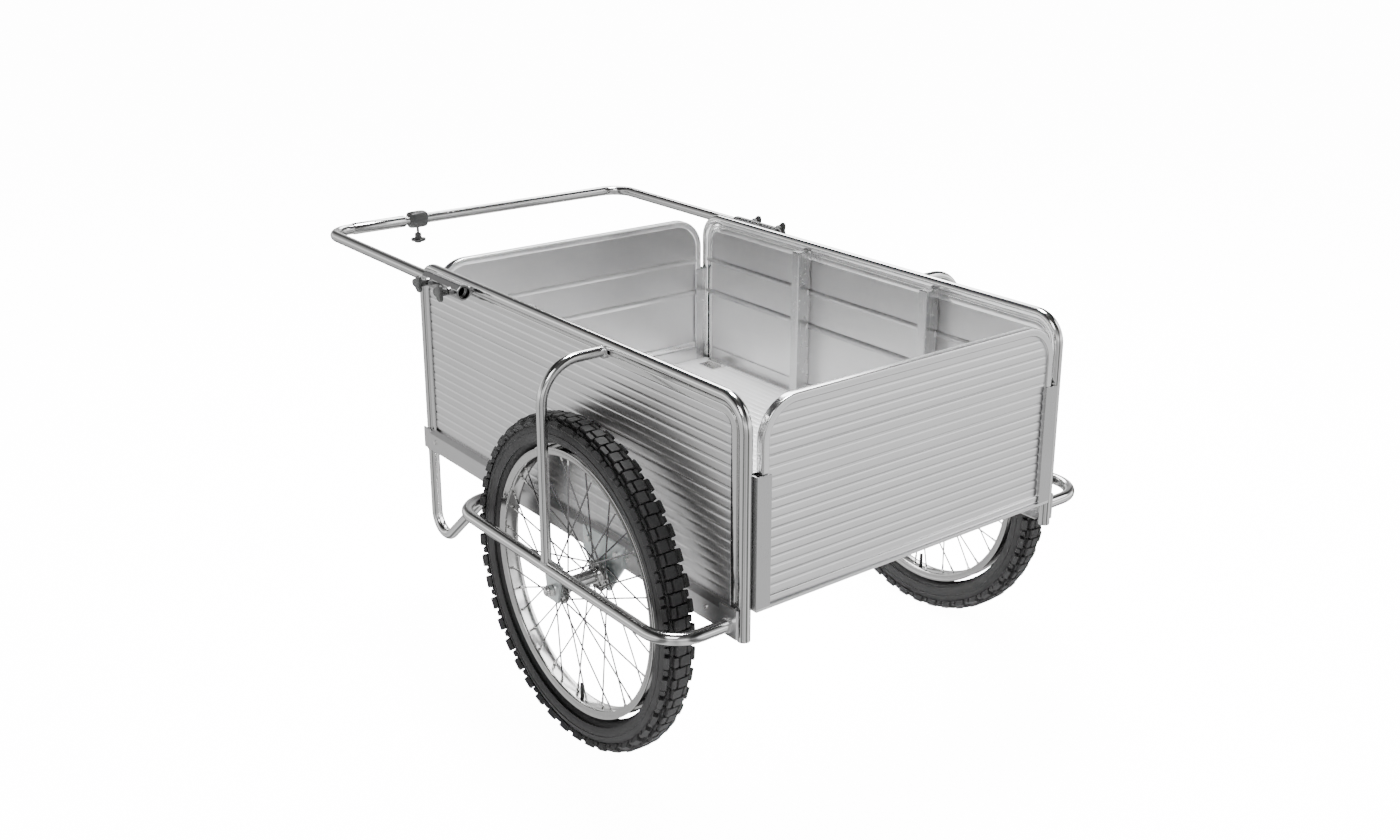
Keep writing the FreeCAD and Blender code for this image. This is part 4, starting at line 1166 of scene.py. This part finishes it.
def hex_nut(form, start, axis, radius, thick):
    across = axis.orthogonal().normalized()
    up = axis.cross(across)
    loops = []
    ease = 0.8 * MM
    for along, shrink in ((0, ease), (ease, 0), (thick - ease, 0), (thick, ease)):
        loop = []
        for i in range(6):
            t = math.pi * i / 3 + 0.3
            loop.append(start + axis * along + (across * math.cos(t) + up * math.sin(t)) * (radius - shrink))
        loops.append(loop)
    form.loft(loops)


# ------------------------------------------------------------ pieces kept from the frame


def paint(node, material, bevel=0.0):
    """Gives a frame node its finish, and eases its edges."""
    thing = nodes[node]
    thing.data.materials.clear()
    thing.data.materials.append(material)
    thing.data.shade_smooth()
    thing.data.set_sharp_from_angle(angle=math.radians(32))
    if bevel:
        ease = thing.modifiers.new("eased edges", "BEVEL")
        ease.width = bevel
        ease.segments = 2
        ease.limit_method = "ANGLE"
        ease.angle_limit = math.radians(50)


def kept_pieces():
    for name, _ in SIDES:
        paint(f"{name}_inner_bracket", ZINC, 1.2 * MM)
        paint(f"{name}_outer_bracket", ZINC, 1.2 * MM)
        paint(f"{name}_floor_strip", RAIL, 0.5 * MM)
        paint(f"{name}_bearings", NUT, 0.4 * MM)
        paint(f"{name}_inner_tube", RUBBER)
    for node in ("front_channels", "rear_channels"):
        paint(node, UPRIGHT, 0.9 * MM)
    paint("end_sills", BOARD_PLANK, 1.2 * MM)
    paint("floor_cross_rails", BOARD_PLANK, 1.2 * MM)
    paint("guard_gussets", RAIL, 0.8 * MM)
    paint("corner_hinges", NUT, 0.5 * MM)
    paint("frame_rivets", NUT, 0.6 * MM)
    paint("bracket_bolts", NUT, 0.8 * MM)


# ------------------------------------------------------------ studio


# how bright the room is at each height, from straight down (0) through level (0.5) to straight up (1)
DOME = (
    (0.0, 0.6), (0.22, 0.5), (0.35, 0.39), (0.46, 0.5), (0.53, 0.9),
    (0.6, 0.7), (0.65, 0.3), (0.74, 0.22), (0.8, 0.06), (1.0, 0.03),
)
DOME_STRENGTH = 1.8
# how bright it is along a level line, from one end (0) to the other (1), with dark flags between
FLAG_LINE = (0.78, -0.62, 0)
FLAGS = (
    (0.0, 1.0), (0.14, 1.0), (0.2, 0.25), (0.3, 0.25), (0.36, 1.0), (0.5, 0.55),
    (0.6, 1.0), (0.7, 1.0), (0.76, 0.2), (0.86, 0.25), (0.92, 1.3), (1.0, 1.3),
)
FLOOR_GLOW = 14
LIGHTS = (
    # name, place, target, size, power
    ("key_light", (-2.6, -2.4, 3.2), (0, -0.1, 0.4), 1.6, 45),
    ("fill_light", (2.8, -2.0, 2.4), (0, 0, 0.4), 1.4, 20),
    ("front_light", (1.7, 2.2, 2.9), (0, -0.1, 0.35), 1.7, 90),
    ("top_light", (0.4, 0.3, 3.4), (0, -0.1, 0.3), 1.0, 210),
)


def studio():
    bpy.ops.mesh.primitive_plane_add(size=40)
    ground = bpy.context.object
    ground.name = "floor_sheet"
    shader = Shader("pale studio floor")
    pale = shader.blend(shader.noise(3, 2), grey(0.86), grey(0.9))
    shader.set(Base_Color=pale, Roughness=0.75, Emission_Color=grey(1), Emission_Strength=FLOOR_GLOW)
    ground.data.materials.append(shader.material)
    ground.visible_glossy = False  # the room's own tone shows in the metal instead
    world = bpy.data.worlds.new("studio")
    bpy.context.scene.world = world
    world.use_nodes = True
    sky = Shader.of_tree(world.node_tree)
    place = sky.node("ShaderNodeTexCoord", output="Generated")
    height = sky.node("ShaderNodeSeparateXYZ", None, {0: place}, "Z")
    tone = sky.ramp(DOME, height * 0.5 + 0.5)
    bearing = sky.dot(place, FLAG_LINE)
    flags = sky.ramp(FLAGS, bearing * 0.5 + 0.5)
    mixed = sky.node("ShaderNodeVectorMath", {"operation": "MULTIPLY"}, {0: tone, 1: flags})
    back = world.node_tree.nodes["Background"]
    sky.feed(back.inputs["Color"], mixed)
    back.inputs["Strength"].default_value = DOME_STRENGTH
    for name, place, target, size, power in LIGHTS:
        softbox(name, place, target, size, power)


def softbox(name, place, target, size, power):
    light = bpy.data.lights.new(name, "AREA")
    light.shape = "SQUARE"
    light.size = size
    light.energy = power
    thing = bpy.data.objects.new(name, light)
    bpy.context.scene.collection.objects.link(thing)
    thing.location = place
    thing.rotation_euler = (Vector(target) - Vector(place)).to_track_quat("-Z", "Y").to_euler()


def camera():
    data = bpy.data.cameras.new("camera")
    data.sensor_width = 36
    data.lens = 38.75
    data.shift_x = -0.0125
    data.shift_y = -0.06
    thing = bpy.data.objects.new("camera", data)
    bpy.context.scene.collection.objects.link(thing)
    yaw, pitch, roll = math.radians(38.41), math.radians(-17.53), math.radians(0.31)
    ahead = Vector((math.sin(yaw) * math.cos(pitch), math.cos(yaw) * math.cos(pitch), math.sin(pitch)))
    turn = ahead.to_track_quat("-Z", "Y").to_matrix().to_4x4()
    thing.matrix_world = Matrix.Translation((-1.4884, -2.0332, 1.3007)) @ turn @ Matrix.Rotation(roll, 4, "Z")
    bpy.context.scene.camera = thing


# the axis of each knob, across its stud
knob_axis = {}
for name, side in SIDES:
    for end in ("rear", "front"):
        low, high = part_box(f"{name}_{end}_knob")
        knob_axis[f"{name}_{end}_knob"] = ((low.y + high.y) / 2, hoop_high.z - tube_r - 5 * MM)
block_middle = mid("handle_clamp_block")
knob_axis["handle_clamp_knob"] = (block_middle.x, block_middle.y)

for name, side in SIDES:
    side_planks(name, side)
    side_hoop(name, side)
    guard(name, side)
    arch(name, side)
    leg(name, side)
    bottom_rail(name, side)
    uprights(name, side)
    sleeve(name, side)
    for end in ("rear", "front"):
        wing_knob(f"{name}_{end}_knob", f"{name}_{end}_sleeve_knob", X * side)
    tyre(name, side)
    rim(name, side)
    spokes(name, side)
    hub(name, side)
    axle_and_nuts(name, side)
wing_knob("handle_clamp_knob", "clamp_knob", -Z)
board("tailgate", "tailgate", "tailgate_planks", "tailgate_frame", -1)
board("front_board", "front_board", "front_board_planks", "front_board_frame", 1)
floor()
handle()
kept_pieces()
studio()
camera()
